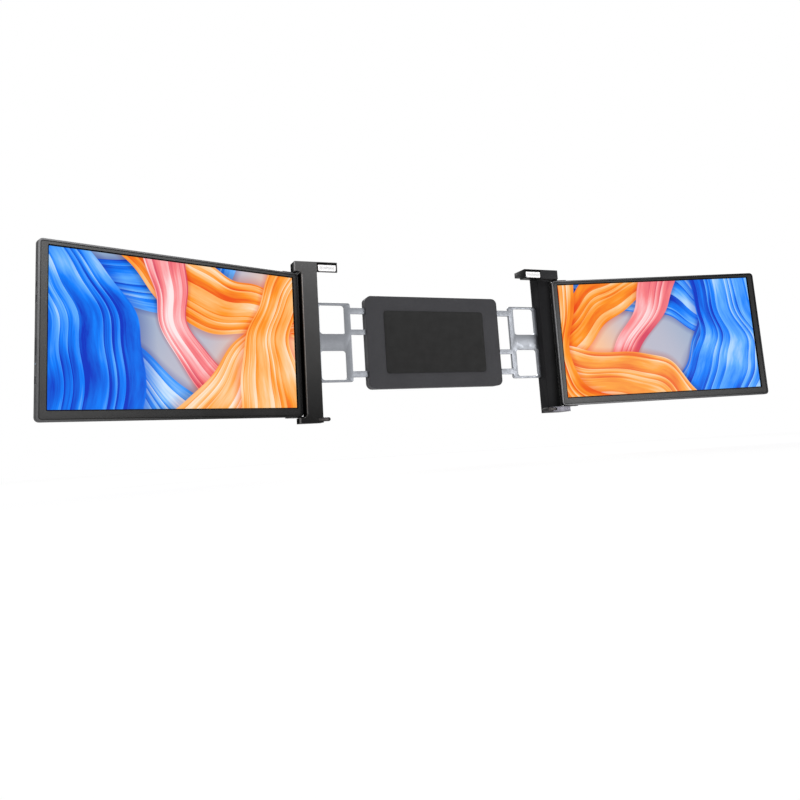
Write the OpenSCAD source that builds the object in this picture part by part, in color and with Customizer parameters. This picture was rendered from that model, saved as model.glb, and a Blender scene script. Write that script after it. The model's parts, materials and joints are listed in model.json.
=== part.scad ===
// Laptop screen extender: two folding side screens on a telescoping bracket that
// hangs on a laptop lid. Millimetres. X runs across the lid, Y points away from the
// user, Z runs up along the hinge axes. The origin is the middle of the face that
// lies on the back of the lid. The right screen folds in front of the left one, so
// its hinge ears step forward by one screen thickness.

/* [Screens] */
// Width of the lit area
active_w = 293.8; // [240:0.1:350]
// Height of the lit area
active_h = 165.2; // [150:0.1:200]
// Bezel beside the lit area on the hinge side
bezel_hinge = 9; // [7:0.5:14]
// Bezel beside the lit area on the free side
bezel_outer = 10.5; // [10:0.5:16]
// Bezel above the lit area
bezel_top = 6.8; // [6.5:0.1:12]
// Bezel below the lit area
bezel_bottom = 11.8; // [11.5:0.1:20]
// Thickness of a closed screen unit
panel_t = 10; // [9.5:0.1:14]
// Radius of the screen unit's four corners
panel_corner_r = 5; // [3:0.1:8]
// Rounding round the back of the screen unit
back_edge_r = 2.5; // [1:0.1:3]
// Rounding round the front rim of the screen unit
front_edge_r = 0.8; // [0.3:0.1:1.2]
// Wall of the rear shell, seen as a rim round the bezel
shell_wall = 2; // [1.6:0.1:2.6]
// Back wall of the rear shell
shell_back = 1.6; // [1.2:0.1:2]
// Thickness of the front bezel frame
bezel_t = 1.3; // [1:0.1:1.8]
// How far the bezel lies below the shell's rim
bezel_drop = 0.3; // [0:0.1:0.5]
// Width of the groove between the bezel and the shell's rim
groove_w = 0.9; // [0.4:0.1:1.2]
// Depth of that groove
groove_depth = 0.7; // [0.3:0.1:0.7]
// Black border of the display, seen round the lit area
black_border = 1.2; // [0.5:0.1:1.3]
// How far the display cell reaches beyond the lit area
cell_lap = 2.2; // [1.5:0.1:2.4]
// Thickness of the display cell
cell_t = 1.4; // [1:0.1:1.6]
// Thickness of the backlight unit
backlight_t = 2.2; // [1.5:0.1:2.4]
// Radius of the display window's corners
window_r = 1.2; // [0.5:0.1:3]

/* [Electronics] */
// Width of the controller board, from the free edge inwards
board_w = 52; // [40:1:90]
// Height of the controller board
board_h = 140; // [132:1:150]
// Thickness of the controller board
board_t = 1; // [0.8:0.1:1.2]
// Width of a USB-C receptacle
port_w = 8.94; // [8.9:0.01:9.2]
// Height of a USB-C receptacle
port_h = 3.2; // [3:0.05:3.3]
// Wall of a USB-C receptacle
port_wall = 0.35; // [0.3:0.05:0.4]
// Depth of a USB-C receptacle
port_depth = 6.8; // [6:0.1:7]
// Height of the upper port above the middle of the posts
port_upper_z = 27; // [20:0.5:32]
// Height of the lower port above the middle of the posts
port_lower_z = -54; // [-60:0.5:-50]
// Length of the power button
power_l = 5; // [4:0.1:7]
// Height of the power button above the middle of the posts
power_z = 42; // [40:0.5:48]
// Length of the brightness rocker
rocker_l = 16; // [12:0.5:18]
// Height of the rocker's middle above the middle of the posts
rocker_z = -21; // [-26:0.5:0]
// Width of both buttons across the edge
button_w = 2.4; // [2:0.1:3]
// How far the buttons stand out of the edge
button_proud = 0.6; // [0.4:0.05:0.9]
// Travel of the power button
button_travel = 0.5; // [0.3:0.05:0.5]
// Diameter of the rocker's pivot peg
rocker_peg_d = 1.6; // [1.4:0.1:2]
// Diameter of the status light
light_d = 1.6; // [1:0.1:2]
// Height of the status light above the middle of the posts
light_z = -38; // [-42:0.5:-34]
// Height of the reset hole above the middle of the posts
reset_z = 64; // [56:0.5:66]
// Diameter of the reset hole
reset_d = 1.2; // [0.8:0.1:1.6]

/* [Hinges] */
// Diameter of the hinge pins
pin_d = 3; // [2.5:0.1:4]
// Radial running clearance round every pin
pin_clear = 0.05; // [0.03:0.01:0.08]
// Thickness of the steel hinge plates
plate_t = 1; // [0.8:0.1:1.5]
// Running gap between a hinge plate and its ear
ear_clear = 0.3; // [0.3:0.05:0.6]
// Height of the upper ear
ear_top_h = 13; // [11.5:0.1:18]
// Height of the lower ear
ear_bottom_h = 7; // [6.5:0.1:12]
// Depth of the hinge axis behind the front of its ears
axis_depth = 3; // [2.8:0.1:4]
// Distance of the hinge axis from the screen unit's inner edge
hinge_inset = 5; // [4:0.1:7]
// Gap between the post and the screen unit's inner edge
notch_gap = 1; // [0.6:0.1:2]
// Gap between a folded screen and what lies behind it
face_gap = 0.5; // [0.4:0.1:1]
// Gap between the two folded screens
fold_gap = 0.8; // [0.5:0.1:2]
// Angle that the left screen stands forward of flat
left_swing = 19.9; // [0:0.1:30]
// Angle that the right screen stands forward of flat
right_swing = 17.7; // [0:0.1:30]
// Length of a hinge plate along the screen unit's edge
plate_l = 18; // [14:0.5:24]

/* [Posts] */
// Opening between the posts, which is the width of the lid
lid_w = 335; // [310:1:355]
// Width of a post's column
face_w = 20.5; // [19.5:0.1:26]
// How far the left ears and both columns stand in front of the lid's back
post_front = 7.5; // [7.3:0.1:9]
// Depth of a post behind the lid's back
post_back = 12; // [11.8:0.1:14]
// Wall of a post
post_wall = 2; // [1.6:0.1:2.4]
// Radius of the fillets where the ears leave the column
notch_r = 4; // [2:0.1:4]
// Rounding of a column's front edges
column_edge_r = 1; // [0.5:0.1:1.5]
// Cut along an ear's front outer edge
ear_edge = 0.6; // [0.3:0.1:1]
// Thickness of the flange behind the right screen's inner edge
back_flange_t = 2.5; // [2:0.1:4]

/* [Claws and fingers] */
// Room for the lid between a claw's lip and the rest pad
lid_gap = 4.6; // [4.2:0.1:4.8]
// Reach of a claw from its post along the lid's top edge
claw_reach = 27.5; // [22:0.5:34]
// Height of a claw's arm, which lies above the lid
claw_arm_h = 7.6; // [7:0.1:8.4]
// Depth of a claw's arm behind the lid's back
claw_back = 9; // [8.5:0.1:9.2]
// Forward travel of a claw
claw_travel = 5; // [3:0.1:5]
// Running gap round a claw
claw_clear = 0.3; // [0.2:0.05:0.4]
// Depth of the tongue that guides a claw
tongue_d = 4; // [3.5:0.1:4.5]
// Length of the tongue inside the post
tongue_l = 11.5; // [10:0.1:13]
// Diameter of a claw's guide pin
claw_pin_d = 2.5; // [2:0.1:3]
// Wire of a claw spring
spring_wire = 0.5; // [0.4:0.05:0.6]
// Turns of a claw spring
spring_turns = 5; // [4:1:6]
// Gap between the pad in a claw's front and the post
pad_gap = 1.4; // [0.8:0.1:1.6]
// Gap between that pad and the claw's free end
pad_end_gap = 2.1; // [1.4:0.1:3]
// Height of the pad in a claw's front
pad_h = 8.2; // [6:0.1:9]
// Thickness of the pad in a claw's front
pad_t = 1.5; // [1.2:0.1:1.7]
// How far the pad stands proud of the claw
pad_proud = 0.3; // [0.1:0.05:0.4]
// Cut across the pad's two lower corners
pad_cut = 1.2; // [0.6:0.1:1.6]
// Depth of the dish round the pad
dish_depth = 0.6; // [0.4:0.1:0.7]
// Rim of the dish, on top and at the claw's free end
dish_rim = 0.9; // [0.6:0.1:1.2]
// Reach of a finger from its post along the lid's front
finger_reach = 9.5; // [7:0.1:9.5]
// Height of a finger
finger_h = 5; // [4:0.1:5]
// Height of a finger's middle above the foot of its post
finger_rise = 4; // [3.4:0.1:4]
// Tail of a finger inside its post
finger_tail = 8; // [7:0.1:8.5]
// Face wall of the post in front of a finger's tail
finger_cover = 1.2; // [0.8:0.05:1.3]
// Length of a finger's rubber tip
tip_l = 2.8; // [1.5:0.1:3]
// Running gap round a finger
finger_clear = 0.15; // [0.1:0.01:0.2]
// Opening in the post's face that shows the finger
finger_window = 6.5; // [5:0.1:8]

/* [Bracket] */
// Width of the centre bracket
bracket_w = 200; // [180:1:210]
// Height of the centre bracket
bracket_h = 124; // [116:1:150]
// Corner radius of the centre bracket
bracket_r = 8; // [7:0.5:14]
// Walls of the centre bracket
bracket_wall = 2; // [1.8:0.1:2.4]
// Thickness of the rest pad
rest_pad_t = 1.2; // [1:0.1:1.6]
// How far the rest pad stands proud of the front cover
rest_pad_proud = 0.8; // [0.6:0.05:0.9]
// Width of the rest pad
rest_pad_w = 150; // [100:1:160]
// Height of the rest pad
rest_pad_h = 84; // [60:1:96]
// Depth of the room for the slide frames
bracket_room = 7; // [6.8:0.1:8]
// Thickness of the rear cover
rear_t = 6; // [5.8:0.1:7]
// Travel of each arm towards the middle
slide_in = 20; // [10:1:20]
// Travel of each arm away from the middle
slide_out = 26; // [15:1:26]
// Thickness of the slide frames
frame_t = 4; // [3.6:0.1:4.4]
// Height of a slide frame's web
web_h = 104; // [100:1:110]
// Height of a guide bar
bar_h = 8; // [6:0.1:10]
// Height of a guide bar's middle above or below the bracket's middle
bar_z = 42; // [38:0.5:44]
// Running gap round the guide bars
bar_clear = 0.15; // [0.1:0.01:0.3]

/* [Rack and pinion] */
// Module of the teeth
gear_module = 1; // [0.9:0.05:1.1]
// Teeth on the pinion, an even number
pinion_teeth = 18; // [18:2:22]
// Backlash of the teeth
backlash = 0.15; // [0.1:0.01:0.25]
// Height of a rack bar behind its teeth
rack_back = 6.8; // [5:0.1:8]
// Diameter of the pinion's pin
pinion_pin_d = 4; // [3:0.1:5]

/* [Kickstand] */
// Width of the kickstand
stand_w = 60; // [50:1:80]
// Length of the kickstand below its pin
stand_l = 76; // [66:1:78]
// Thickness of the kickstand
stand_t = 3; // [2.4:0.1:3.2]
// Height of the kickstand's pin above the bracket's middle
stand_z = 34; // [30:0.5:38]
// Diameter of the kickstand's pin
stand_pin_d = 2; // [1.6:0.1:2.2]
// Radius of the kickstand's barrel
barrel_r = 2; // [1.9:0.05:2.1]
// Running gap round the kickstand
stand_clear = 0.3; // [0.2:0.05:0.4]
// Height of the kickstand's rubber foot
foot_h = 5; // [4:0.1:8]

/* [Screws] */
// Diameter of the small screws in the screens and hinge plates
small_screw_d = 2; // [1.6:0.1:2.2]
// Diameter of the large screws in the posts and the bracket
large_screw_d = 3; // [2.5:0.1:3.5]
// Clearance between a screw and its hole
screw_clear = 0.1; // [0.05:0.01:0.15]

/* [Hidden] */
$fn = 64;

LEFT = -1;
RIGHT = 1;
slip = 0.02;          // radial gap of a pin that is pressed into its seat
eps = 0.5;            // how far a cutter runs past the face that it opens

// heights of the post, its ears and the screen unit
panel_w = bezel_hinge + active_w + bezel_outer;
panel_h = bezel_bottom + active_h + bezel_top;
ear_gap = plate_t + ear_clear;
post_h = ear_top_h + ear_gap + panel_h + ear_gap + ear_bottom_h;
post_z1 = post_h / 2;
post_z0 = -post_z1;
ear_top_z0 = post_z1 - ear_top_h;
ear_bottom_z1 = post_z0 + ear_bottom_h;
panel_z1 = ear_top_z0 - ear_gap;
panel_z0 = ear_bottom_z1 + ear_gap;

// places across the post
half_lid = lid_w / 2;
column_x1 = half_lid + face_w;
axis_x = column_x1 + notch_gap + hinge_inset;
ear_x1 = axis_x + axis_depth;

// the right ears stand one folded screen further forward
step_forward = panel_t + fold_gap;
function ears_front(side) = -post_front - (side == RIGHT ? step_forward : 0);
function axis_y(side) = ears_front(side) + axis_depth;
function swing(side) = side == LEFT ? left_swing : right_swing;

// the screen unit, measured from its hinge axis: u outwards, d backwards
panel_d0 = axis_depth + face_gap;
panel_d1 = panel_d0 + panel_t;
panel_u0 = -hinge_inset;
panel_u1 = panel_u0 + panel_w;
active_u0 = panel_u0 + bezel_hinge;
active_u1 = active_u0 + active_w;
active_z0 = panel_z0 + bezel_bottom;
active_z1 = active_z0 + active_h;
bezel_d0 = panel_d0 + bezel_drop;
bezel_d1 = bezel_d0 + bezel_t;
cell_d1 = bezel_d1 + cell_t;
backlight_d1 = cell_d1 + backlight_t;
shell_inner_d = panel_d1 - shell_back;
bezel_fit = 0.15;     // gap between the bezel and the shell's rim, at the foot of the groove
corner_in_r = max(panel_corner_r - shell_wall, 0.5);

button_fit = 0.25;    // gap round the buttons in the wall
button_flange = 0.7;  // flange that keeps a button behind the wall
flange_t = 0.8;       // thickness of that flange
flange_gap = 0.3;     // gap between the flange and the wall
rocker_fit = 0.4;     // gap at the ends of the rocker, which swings

// the board stands off the back wall and carries the ports on its front
port_mid_d = (panel_d0 + panel_d1) / 2;
board_d0 = port_mid_d + port_h / 2;
board_d1 = board_d0 + board_t;
board_u1 = panel_u1 - shell_wall - flange_gap - flange_t - button_travel - 0.2;
board_u0 = board_u1 - board_w;
board_mid_z = (port_upper_z + port_lower_z) / 2;
light_fit = 0.05;     // gap round the status light in the wall
wall_in_u = panel_u1 - shell_wall;
rocker_peg_u = wall_in_u - 2.4;
rocker_eye_r = rocker_peg_d / 2 + 0.9;

// screws
small_head_r = small_screw_d * 0.95;
large_head_r = large_screw_d * 0.92;
small_hole_r = small_screw_d / 2 + screw_clear;
large_hole_r = large_screw_d / 2 + screw_clear;
panel_screw_z = panel_z0 + shell_wall + 3.4;
panel_screw_u = [for (f = [0.12, 0.5, 0.9]) panel_u0 + panel_w * f];
boss_r = small_screw_d / 2 + 1.5;

// the centre bracket, from front to back
front_cover_y0 = rest_pad_proud;
front_cover_y1 = front_cover_y0 + bracket_wall;
room_y1 = front_cover_y1 + bracket_room;
rear_y1 = room_y1 + rear_t;
frame_y0 = (front_cover_y1 + room_y1 - frame_t) / 2;
frame_y1 = frame_y0 + frame_t;
web_x0 = bracket_w / 2 + slide_in + 1;
web_x1 = column_x1 - post_wall - 2;
bar_clear_of_pinion = 20;   // keeps the bars' inner ends clear of the pinion
bar_x0 = slide_in + bar_clear_of_pinion;
web_side = 8;               // web between a window and the bracket
web_post_side = 4;          // web between a window and the post
web_edge = 3;               // web above the upper window and below the lower one
web_spine = 11;             // half of the web between the two windows
web_window_x = [web_x0 + web_side, half_lid - web_post_side];
web_window_z = [web_spine, web_h / 2 - web_edge];

// rack and pinion: the pitch circle touches both racks
pitch_r = gear_module * pinion_teeth / 2;
addendum = gear_module;
dedendum = 1.25 * gear_module;
pressure = 20;
tooth_half = (PI * gear_module / 2 - backlash) / 2;
rack_root_z = pitch_r + dedendum;
rack_tip_z = pitch_r - addendum;
rack_top_z = rack_root_z + rack_back;
rack_x0 = -slide_out - 8;
rack_teeth_x1 = slide_in + 8;

// posts, from front to back
cavity_y0 = -post_front + post_wall;
cover_y0 = post_back - post_wall;
cavity_x0 = half_lid + post_wall;
cavity_x1 = column_x1 - post_wall;
cavity_z1 = ear_top_z0 - post_wall;
cavity_z0 = ear_bottom_z1 + post_wall;
cover_fit = 0.15;     // gap round a post's back cover
web_screw_x = (cavity_x0 + web_x1) / 2;
web_screw_z = [for (k = [-1, 0, 1]) k * (web_h / 2 - 10)];
web_boss_r = large_screw_d / 2 + 2;
cover_screw_z = [for (k = [-1, 1]) k * (cavity_z1 + web_h / 2) / 2];
cover_boss_x = (cavity_x0 + cavity_x1) / 2;

// claw: lip, arm and tongue
claw_z1 = post_z1;
arm_z0 = claw_z1 - claw_arm_h;
tongue_z0 = arm_z0;
tongue_z1 = claw_z1 - 2.2;
tongue_y1 = claw_back;
tongue_y0 = tongue_y1 - tongue_d;
pocket_y0 = tongue_y0 - claw_travel - spring_wire * (spring_turns + 2) - 0.7;
pocket_y1 = tongue_y1 + claw_clear;
claw_pin_x = half_lid + tongue_l * 0.6;
claw_pin_z = (tongue_z0 + tongue_z1) / 2;
claw_pin_y0 = pocket_y0 - 2;
claw_pin_y1 = pocket_y1 + 1.7;
spring_r = claw_pin_d / 2 + pin_clear + 0.15 + spring_wire / 2;
claw_x0 = half_lid - claw_reach;
claw_x1 = half_lid - claw_clear;
pad_x0 = claw_x0 + pad_end_gap;
pad_x1 = claw_x1 - pad_gap;
pad_z0 = ear_top_z0 + 1;
pad_field_w = 0.82 * (pad_x1 - pad_x0);
pad_field_h = 0.4 * pad_h;

// finger in its channel at the foot of the post
finger_z = post_z0 + finger_rise;
finger_x0 = half_lid - finger_reach;
finger_x1 = half_lid + finger_tail;
finger_travel = finger_reach - 0.5;
function finger_front(side) = ears_front(side) + finger_cover + finger_clear;

// kickstand in its recess
recess_depth = 2 * barrel_r + 0.2;
recess_y0 = rear_y1 - recess_depth;
stand_y = recess_y0 + 0.2 + barrel_r;
stand_plate_y1 = rear_y1 - 0.5;
stand_plate_y0 = stand_plate_y1 - stand_t;
stand_pin_grip = 6;   // length of the kickstand's pin in each side of the recess
foot_w = stand_w - 8;

// ---------- helpers ----------

function arc(cx, cy, r, a0, a1, n) =
    [for (i = [0:n]) let (a = a0 + (a1 - a0) * i / n) [cx + r * cos(a), cy + r * sin(a)]];

module on_side(side) {
    mirror([side == LEFT ? 1 : 0, 0, 0]) children();
}

// the frame of a screen unit at rest: origin on its hinge axis
module in_panel(side) {
    on_side(side)
        translate([axis_x, axis_y(side), 0])
            rotate([0, 0, -swing(side)])
                children();
}

// extrudes a shape drawn in X and Z from y0 to y1
module along_y(y0, y1) {
    translate([0, y1, 0]) rotate([90, 0, 0]) linear_extrude(height = y1 - y0) children();
}

module round_rect(w, h, r) {
    square([w - 2 * r, h], center = true);
    square([w, h - 2 * r], center = true);
    for (x = [-1, 1], y = [-1, 1])
        translate([x * (w / 2 - r), y * (h / 2 - r)]) circle(r = r);
}

module slab(x0, x1, z0, z1, y0, y1, r) {
    along_y(y0, y1)
        translate([(x0 + x1) / 2, (z0 + z1) / 2])
            round_rect(x1 - x0, z1 - z0, r);
}

module box(x0, x1, y0, y1, z0, z1) {
    translate([x0, y0, z0]) cube([x1 - x0, y1 - y0, z1 - z0]);
}

// a round bar along Y
module rod_y(x, z, r, y0, y1) {
    translate([x, y1, z]) rotate([90, 0, 0]) cylinder(h = y1 - y0, r = r);
}

// a bar along X with a round end: stadium section seen along Y
module stadium(x0, x1, z, h, y0, y1) {
    along_y(y0, y1) {
        translate([x0, z - h / 2]) square([x1 - x0 - h / 2, h]);
        translate([x1 - h / 2, z]) circle(r = h / 2);
    }
}

// ---------- screen unit ----------

// one corner of the rear shell: a disc with rounded rims, its axis along Y
module shell_corner() {
    r = panel_corner_r;
    rotate([-90, 0, 0]) rotate_extrude($fn = 40)
        polygon(concat(
            [[0, 0]],
            arc(r - front_edge_r, front_edge_r, front_edge_r, -90, 0, 4),
            arc(r - back_edge_r, panel_t - back_edge_r, back_edge_r, 0, 90, 7),
            [[0, panel_t]]
        ));
}

module shell_outside() {
    hull()
        for (u = [panel_u0 + panel_corner_r, panel_u1 - panel_corner_r],
             z = [panel_z0 + panel_corner_r, panel_z1 - panel_corner_r])
            translate([u, panel_d0, z]) shell_corner();
}

module shell_cavity() {
    slab(panel_u0 + shell_wall, panel_u1 - shell_wall, panel_z0 + shell_wall, panel_z1 - shell_wall,
         panel_d0 - eps, shell_inner_d, corner_in_r);
}

// openings in the free edge for ports, buttons, light and reset hole
module edge_openings() {
    for (z = [port_upper_z, port_lower_z])
        box(panel_u1 - port_depth, panel_u1 + eps, port_mid_d - port_h / 2 - light_fit,
            port_mid_d + port_h / 2 + light_fit, z - port_w / 2 - light_fit, z + port_w / 2 + light_fit);
    box(wall_in_u - eps, panel_u1 + eps, port_mid_d - button_w / 2 - button_fit,
        port_mid_d + button_w / 2 + button_fit,
        power_z - power_l / 2 - button_fit, power_z + power_l / 2 + button_fit);
    box(wall_in_u - eps, panel_u1 + eps, port_mid_d - button_w / 2 - button_fit,
        port_mid_d + button_w / 2 + button_fit,
        rocker_z - rocker_l / 2 - rocker_fit, rocker_z + rocker_l / 2 + rocker_fit);
    translate([wall_in_u - eps, port_mid_d, light_z]) rotate([0, 90, 0])
        cylinder(h = shell_wall + 2 * eps, r = light_d / 2 + light_fit);
    translate([wall_in_u - eps, port_mid_d, reset_z]) rotate([0, 90, 0])
        cylinder(h = shell_wall + 2 * eps, r = reset_d / 2);
}

// places of the hinge plate screws along the edge
plate_screw_u = [plate_l * 0.4, plate_l * 0.8];
plate_mid_d = (panel_d0 + panel_d1) / 2;
plate_band = 4;       // width of a hinge plate on each side of its screws
plate_screw_l = 4.2;  // length of a hinge screw below its plate
standoff_edge = 5;    // distance of the stand-offs from the board's edges
button_room = 12;     // board beside the free edge that stays clear for the buttons

// thick corners under the hinge plates
module hinge_blocks() {
    block_h = min(bezel_top, bezel_bottom) - cell_lap - shell_wall - 0.2;
    for (z = [panel_z1 - shell_wall - block_h, panel_z0 + shell_wall])
        box(panel_u0 + shell_wall + 1, plate_l + 2, bezel_d1 + 0.1, shell_inner_d, z, z + block_h);
}

module hinge_screw_holes() {
    for (u = plate_screw_u) {
        translate([u, plate_mid_d, panel_z1 - plate_screw_l - 0.2])
            cylinder(h = plate_screw_l + 0.2 + eps, r = small_hole_r);
        translate([u, plate_mid_d, panel_z0 - eps])
            cylinder(h = plate_screw_l + 0.2 + eps, r = small_hole_r);
    }
}

module rear_shell() {
    color([0.2, 0.2, 0.21])
    difference() {
        union() {
            difference() {
                shell_outside();
                shell_cavity();
                edge_openings();
            }
            hinge_blocks();
            // stand-offs that carry the board
            for (z = [-1, 1], u = [board_u0 + standoff_edge, board_u1 - button_room])
                rod_y(u, board_mid_z + z * (board_h / 2 - standoff_edge),
                      boss_r, board_d1, shell_inner_d + eps / 2);
            // peg of the rocker
            rod_y(rocker_peg_u, rocker_z, rocker_peg_d / 2,
                  port_mid_d - button_w / 2 - 0.4, shell_inner_d + eps / 2);
        }
        hinge_screw_holes();
        for (u = panel_screw_u) {
            rod_y(u, panel_screw_z, small_hole_r, shell_inner_d - eps, panel_d1 + eps);
            rod_y(u, panel_screw_z, small_head_r + screw_clear, panel_d1 - 0.8, panel_d1 + eps);
        }
    }
}

module bezel_slab(rim, d0, d1, r) {
    slab(panel_u0 + rim, panel_u1 - rim, panel_z0 + rim, panel_z1 - rim, d0, d1, r);
}

module front_bezel() {
    color([0.33, 0.33, 0.34])
    difference() {
        union() {
            // the foot fills the shell, and the face stands back from its rim by the groove
            bezel_slab(shell_wall + bezel_fit, bezel_d0 + groove_depth, bezel_d1, corner_in_r);
            bezel_slab(shell_wall + groove_w, bezel_d0, bezel_d1, max(corner_in_r - groove_w, 0.5));
            // screw bosses along the foot
            for (u = panel_screw_u)
                rod_y(u, panel_screw_z, boss_r, bezel_d1 - eps, shell_inner_d);
        }
        slab(active_u0 - black_border, active_u1 + black_border, active_z0 - black_border,
             active_z1 + black_border, bezel_d0 - eps, bezel_d1 + eps, window_r);
        for (u = panel_screw_u)
            rod_y(u, panel_screw_z, small_hole_r, bezel_d1 + 0.6, shell_inner_d + eps);
    }
}

module display_cell() {
    color([0.55, 0.62, 0.8])
    slab(active_u0 - cell_lap, active_u1 + cell_lap, active_z0 - cell_lap, active_z1 + cell_lap,
         bezel_d1, cell_d1, 0.5);
}

module backlight() {
    color([0.75, 0.76, 0.78])
    slab(active_u0 - cell_lap, active_u1 + cell_lap, active_z0 - cell_lap, active_z1 + cell_lap,
         cell_d1, backlight_d1, 0.5);
}

module controller_board() {
    color([0.05, 0.35, 0.2])
    difference() {
        slab(board_u0, board_u1, board_mid_z - board_h / 2, board_mid_z + board_h / 2,
             board_d0, board_d1, 1);
        // hole for the rocker's peg
        rod_y(rocker_peg_u, rocker_z, rocker_peg_d / 2 + 0.1, board_d0 - eps, board_d1 + eps);
    }
}

module usb_ports() {
    color([0.7, 0.7, 0.72])
    for (z = [port_upper_z, port_lower_z])
        difference() {
            box(panel_u1 - port_depth, panel_u1 - 0.2, port_mid_d - port_h / 2, board_d0,
                z - port_w / 2, z + port_w / 2);
            difference() {
                box(panel_u1 - port_depth + 1, panel_u1 + eps,
                    port_mid_d - port_h / 2 + port_wall, board_d0 - port_wall,
                    z - port_w / 2 + port_wall, z + port_w / 2 - port_wall);
                // contact tongue
                box(panel_u1 - port_depth, panel_u1 - 1.2, port_mid_d - 0.35, port_mid_d + 0.35,
                    z - port_w / 2 + 1.2, z + port_w / 2 - 1.2);
            }
        }
}

module power_button() {
    color([0.1, 0.1, 0.1]) {
        slab_u(wall_in_u - flange_gap - flange_t, panel_u1 + button_proud, power_z, power_l, button_w);
        slab_u(wall_in_u - flange_gap - flange_t, wall_in_u - flange_gap, power_z,
               power_l + 2 * button_flange, button_w + 2 * button_flange);
    }
}

// a rounded bar that runs along u, centred on the middle of the edge
module slab_u(u0, u1, z, l, w) {
    translate([u0, port_mid_d, z]) rotate([90, 0, 90]) linear_extrude(height = u1 - u0)
        round_rect(w, l, w / 2 - 0.05);
}

module rocker() {
    color([0.1, 0.1, 0.1])
    difference() {
        union() {
            slab_u(rocker_peg_u + rocker_eye_r - 0.4, panel_u1 + button_proud, rocker_z, rocker_l, button_w);
            rod_y(rocker_peg_u, rocker_z, rocker_eye_r, port_mid_d - button_w / 2, port_mid_d + button_w / 2);
        }
        rod_y(rocker_peg_u, rocker_z, rocker_peg_d / 2 + pin_clear,
              port_mid_d - button_w, port_mid_d + button_w);
    }
}

module status_light() {
    color([0.85, 0.9, 1])
    translate([wall_in_u - 1.5, port_mid_d, light_z]) rotate([0, 90, 0])
        cylinder(h = shell_wall + 1.4, r = light_d / 2);
}

// steel plate on the edge of the screen unit, with the hinge pin on it
module hinge_plate(z0, pin_l) {
    pin_dir = pin_l < 0 ? -1 : 1;
    arm_r = axis_depth - 0.2;
    color([0.72, 0.72, 0.74])
    difference() {
        union() {
            translate([0, 0, z0]) linear_extrude(height = plate_t) {
                circle(r = arm_r);
                translate([-arm_r, 0]) square([2 * arm_r, plate_mid_d]);
                translate([-arm_r, plate_mid_d - plate_band]) square([plate_l + arm_r - 2, 2 * plate_band]);
                translate([plate_l - 2, plate_mid_d - plate_band + 2]) square([2, 2 * plate_band - 4]);
                for (k = [-1, 1])
                    translate([plate_l - 2, plate_mid_d + k * (plate_band - 2)]) circle(r = 2);
            }
            translate([0, 0, pin_dir > 0 ? z0 : z0 + plate_t + pin_l])
                cylinder(h = abs(pin_l), r = pin_d / 2);
        }
        for (u = plate_screw_u)
            translate([u, plate_mid_d, z0 - eps]) cylinder(h = plate_t + 2 * eps, r = small_hole_r);
    }
}

upper_pin_l = ear_gap + 0.65 * ear_top_h;
lower_pin_l = ear_gap + 0.75 * ear_bottom_h;
hinge_head_t = ear_clear - 0.1;   // the screw heads stay below the ears

module upper_hinge_plate() { hinge_plate(panel_z1, upper_pin_l); }

module lower_hinge_plate() { hinge_plate(panel_z0 - plate_t, -lower_pin_l); }

module hinge_screws() {
    color([0.6, 0.6, 0.62])
    for (u = plate_screw_u) {
        translate([u, plate_mid_d, panel_z1 - plate_screw_l])
            cylinder(h = plate_screw_l + plate_t + hinge_head_t, r = small_screw_d / 2);
        translate([u, plate_mid_d, panel_z1 + plate_t])
            cylinder(h = hinge_head_t, r = small_head_r);
        translate([u, plate_mid_d, panel_z0 - plate_t - hinge_head_t])
            cylinder(h = plate_screw_l + plate_t + hinge_head_t, r = small_screw_d / 2);
        translate([u, plate_mid_d, panel_z0 - plate_t - hinge_head_t])
            cylinder(h = hinge_head_t, r = small_head_r);
    }
}

module panel_screws() {
    color([0.25, 0.25, 0.26])
    for (u = panel_screw_u) {
        rod_y(u, panel_screw_z, small_screw_d / 2, bezel_d1 + 1, panel_d1 - 0.8);
        difference() {
            rod_y(u, panel_screw_z, small_head_r, panel_d1 - 0.8, panel_d1 - 0.1);
            // cross recess
            for (a = [0, 90])
                translate([u, panel_d1, panel_screw_z]) rotate([0, a, 0])
                    cube([small_screw_d, 0.8, small_screw_d * 0.25], center = true);
        }
    }
}

// ---------- post ----------

// plan of an ear, with a narrow cut along its front outer edge
module ear_plan(front) {
    polygon([
        [half_lid, front], [ear_x1 - ear_edge, front], [ear_x1, front + ear_edge],
        [ear_x1, post_back], [half_lid, post_back]
    ]);
}

module column_plan() {
    r = column_edge_r;
    translate([half_lid + r, -post_front]) square([face_w - 2 * r, post_back + post_front]);
    translate([half_lid, -post_front + r]) square([face_w, post_back + post_front - r]);
    for (x = [half_lid + r, column_x1 - r]) translate([x, -post_front + r]) circle(r = r);
}

// fillet between an ear and the column
module notch_fillet(z, up) {
    along_y(-post_front, post_back)
        difference() {
            translate([column_x1 - 1, up > 0 ? z - notch_r : z - 1]) square([notch_r + 1, notch_r + 1]);
            translate([column_x1 + notch_r, z - up * notch_r]) circle(r = notch_r);
        }
}

// flange between the right ears, behind the reach of the screen unit's inner edge
module back_flange() {
    y0 = axis_y(RIGHT) + norm([hinge_inset, panel_d1]) + notch_gap;
    box(column_x1 - 1, ear_x1, y0, y0 + back_flange_t, ear_bottom_z1 - 1, ear_top_z0 + 1);
}

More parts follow.
